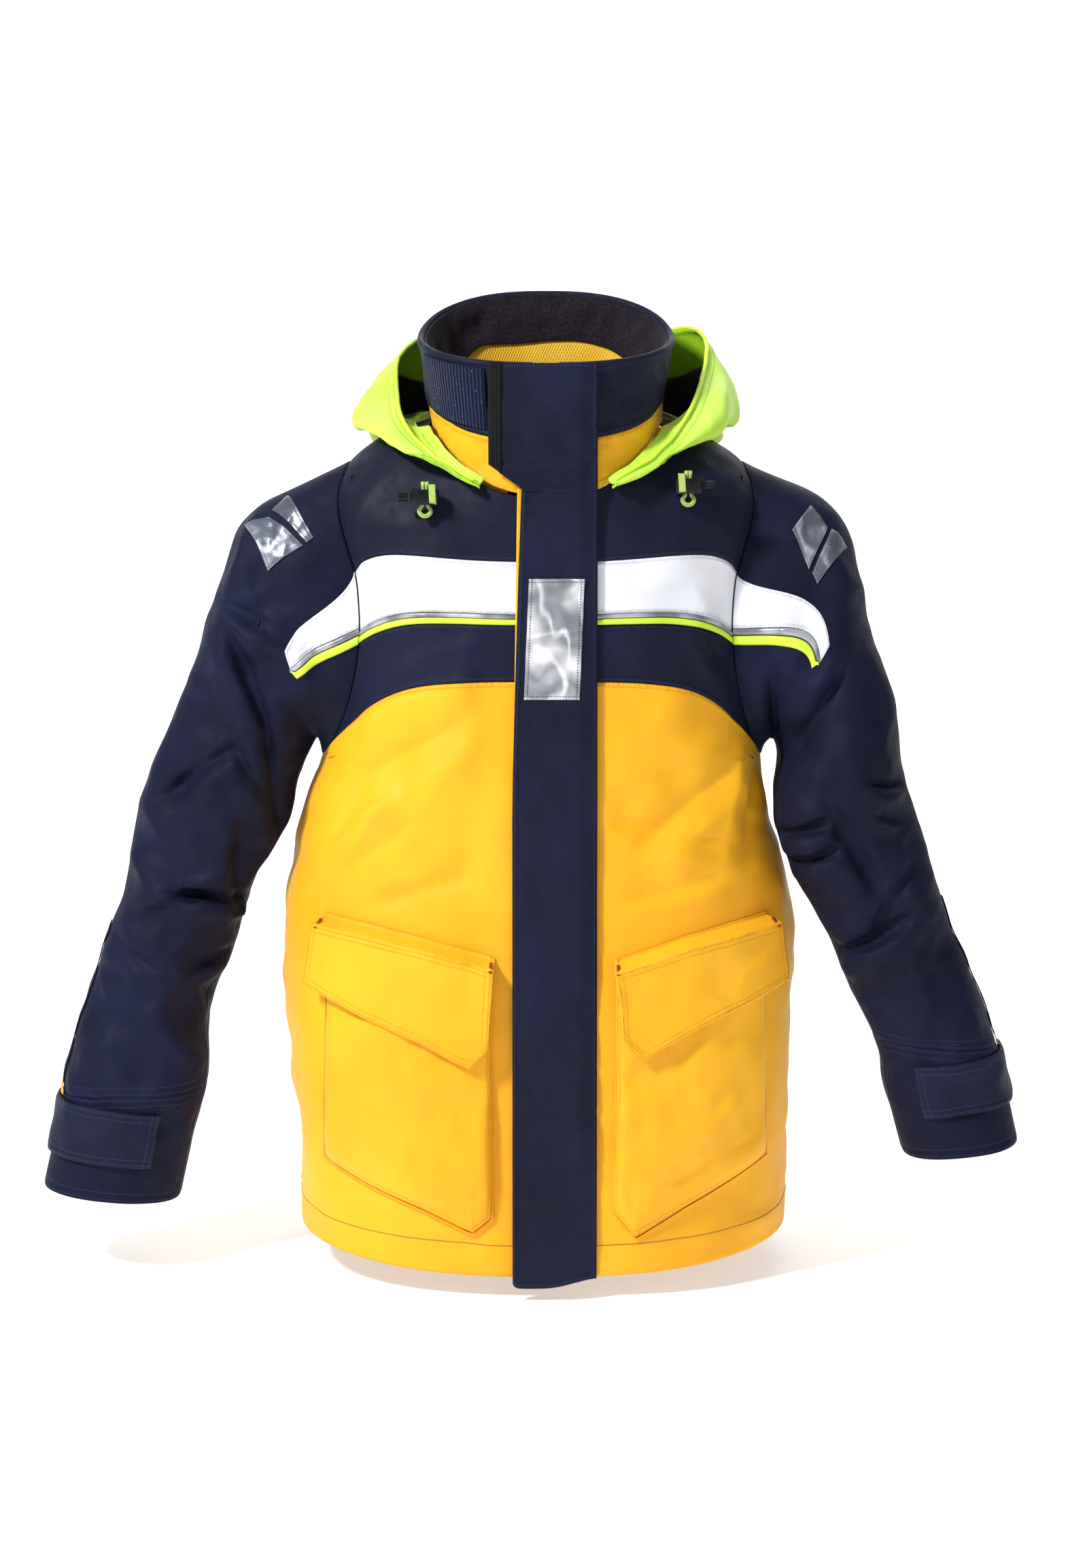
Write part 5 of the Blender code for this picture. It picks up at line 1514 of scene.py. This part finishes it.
def cord_lock(side):
    """A barrel lock, its sprung button with a ribbed end, and the doubled elastic cord through it."""
    middle = lock_place(side)
    columns = 48
    turn = np.linspace(0, 2 * math.pi, columns, endpoint=False)
    c, s = signed_power(np.cos(turn), 0.6), signed_power(np.sin(turn), 0.6)
    profile = [(0.84, 1.0), (0.95, 0.97), (1.0, 0.60), (1.0, 0.0), (1.0, -0.60), (0.95, -0.97), (0.84, -1.0)]
    rings = [np.stack([LOCK_HALF * w * c, LOCK_RADIUS * w * s, LOCK_RADIUS * z + 0 * c], -1)
             for w, z in profile]
    hole = np.stack([CORD_HOLE * np.cos(turn), CORD_HOLE * np.sin(turn), 0 * turn], -1)
    rings += [hole + (0, 0, -LOCK_RADIUS), hole + (0, 0, LOCK_RADIUS)]
    last = (len(rings) - 1) * columns
    quads = grid_quads(len(rings), columns, True)
    quads += [[last + k, last + (k + 1) % columns, (k + 1) % columns, k] for k in range(columns)]
    solid(f"lock_barrel_{side}", np.concatenate(rings) + middle, quads, "plastic", f"cord_lock_{side}",
          smooth=40)

    button = middle + (SIDE[side] * (LOCK_HALF + BUTTON_TRAVEL + BUTTON_HALF), 0, 0)
    count = 15
    radius = 0.0044 - 0.0004 * (np.arange(count) % 2)
    rings = [np.stack([BUTTON_HALF * at + 0 * turn, r * np.sin(turn), r * np.cos(turn)], -1)
             for at, r in zip(np.linspace(-1, 1, count), radius)]
    last = (count - 1) * columns
    quads = grid_quads(count, columns, True) + [list(range(columns)), list(range(last, last + columns))]
    solid(f"lock_button_{side}", np.concatenate(rings) + button, quads, "plastic", f"cord_lock_button_{side}",
          smooth=30, body=f"lock_button_{side}")
    lock_tab(side, middle)
    elastic(side, middle)


def elastic(side, middle):
    """The hood's cord: in from the hood, down through the lock, round a loop and back beside itself."""
    angle = np.linspace(0, math.pi, 24)
    loop = np.stack([-0.0050 * np.cos(angle), 0 * angle, -0.012 - 0.0050 * np.sin(angle)], -1)
    leg = np.array([(-0.0016, 0.0020, 0.0125), (-0.0016, 0.0008, 0.0095), (-0.0016, 0, 0.006),
                    (-0.0016, 0, 0.0), (-0.0016, 0, -0.006), (-0.0030, 0, -0.0088)])
    path = np.concatenate([leg, loop, leg[::-1] * (-1, 1, 1)]) + middle
    free = smoothstep(0.0060, 0.0110, np.abs(path[:, 2] - middle[2]))
    bead(f"hood_elastic_{side}", path, CORD + 0.0007 * free, "cord", node=f"hood_cord_{side}")


def lock_tab(side, middle):
    """The flat lime loop that ties a cord lock to the hood, passing down its front and under it."""
    t = as_column(0, 1, 30)
    across = as_row(-0.0030, 0.0030, 8)
    z = middle[2] + 0.0110 - 0.0178 * t + 0 * across
    front = LOCK_RADIUS + 0.0012
    y = middle[1] - np.interp(t, (0, 0.30, 0.85, 1.0), (0.0015, front, front, front - 0.0035)) + 0 * across
    x = middle[0] - SIDE[side] * 0.0062 + across + 0.0010 * t
    panel(f"lock_tab_{side}", np.stack([x, y, z], -1), 0.0008, "cord", away=FORWARD, sewn="", dip=0)


def solid(name, points, faces, finish, node, smooth, body="jacket"):
    """A hard piece from its own faces, shaded smooth except at edges sharper than this many degrees."""
    made = welded(name, points, faces, finish)
    made.data.set_sharp_from_angle(angle=math.radians(smooth))
    return place(made, node, body)


def hang_loop():
    """A folded strap, its ends sewn to the neck seam."""
    x, y, z = HANG_LOOP
    across = (-0.026, -0.022, -0.012, 0.012, 0.022, 0.026)
    back = (0.0030, -0.0030, -0.0085, -0.0085, -0.0030, 0.0030)
    at = np.linspace(0, 5, 60)
    dx, dy = np.interp(at, range(6), across), np.interp(at, range(6), back)
    dz = as_column(-0.004, 0.004, 7)
    points = np.stack(np.broadcast_arrays(x + dx, y + dy, z + dz), -1)
    panel("hang_loop", points, 0.0012, "tape", away=FORWARD, sewn="bt", dip=0.0002)


# ---------------------------------------------------------------- room

def paper(name, material, corners, roughness, specular, glow):
    """A pale sheet of the studio that shines a little itself, so that it stays white."""
    shade = Shader(material)
    tooth = shade.bump(shade.noise(shade.places()[1], 3.0), 0.001, 0.1)
    shade.finish(rgb(250, 250, 250), roughness, tooth, specular=specular)
    shade.bsdf.inputs["Emission Color"].default_value = (1.0, 1.0, 1.0, 1.0)
    shade.bsdf.inputs["Emission Strength"].default_value = glow
    mesh = bpy.data.meshes.new(name)
    mesh.from_pydata(corners, [], [(0, 1, 2, 3)])
    linked(name, mesh, shade.material)


def studio(low):
    """A pale floor and backdrop, a small key from upper left, and three soft lamps."""
    paper("floor", "pale_floor", [(-6, -6, low), (6, -6, low), (6, 6, low), (-6, 6, low)], 0.7, 0.2, 0.46)
    paper("backdrop", "backdrop_paper", [(-6, 5, low), (6, 5, low), (6, 5, 5), (-6, 5, 5)], 0.9, 0.5, 0.6)
    world = bpy.data.worlds.new("studio")
    world.use_nodes = True
    sky = world.node_tree.nodes["Background"]
    sky.inputs["Color"].default_value = (0.97, 0.98, 1.0, 1.0)
    sky.inputs["Strength"].default_value = 0.26
    bpy.context.scene.world = world
    bpy.context.scene.view_settings.view_transform = "Standard"
    aim = Vector((0, 0, -0.35))
    for name, spot, size, power in (("key", (-1.9, -1.7, 1.9), 0.45, 112), ("fill", (2.2, -2.0, 0.7), 2.2, 5),
                                    ("top", (0.2, 0.1, 2.3), 1.6, 15), ("back", (0.5, 2.4, 1.4), 2.0, 16)):
        lamp = bpy.data.lights.new(name, "AREA")
        lamp.size, lamp.energy = size, power
        made = bpy.data.objects.new(name, lamp)
        made.location = spot
        made.rotation_euler = (aim - Vector(spot)).to_track_quat("-Z", "Y").to_euler()
        bpy.context.scene.collection.objects.link(made)


# ---------------------------------------------------------------- the jacket

body = body_grid()
sleeves = {side: sleeve_grid(side) for side in SIDE}
hood_cloth = hood_grid(body)
body_fronts(body)
body_back(body)
collar()
storm_flap()
teeth()
hang_loop()
for side in SIDE:
    pocket(side, body)
    sleeve(side, sleeves[side])
    cord_lock(side)
hood(hood_cloth)
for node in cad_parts.values():
    if not node.hide_render:
        node.data.materials.clear()
        node.data.materials.append(LOOK["plastic"])
studio(CAD_BOX[0][2] - 0.012)
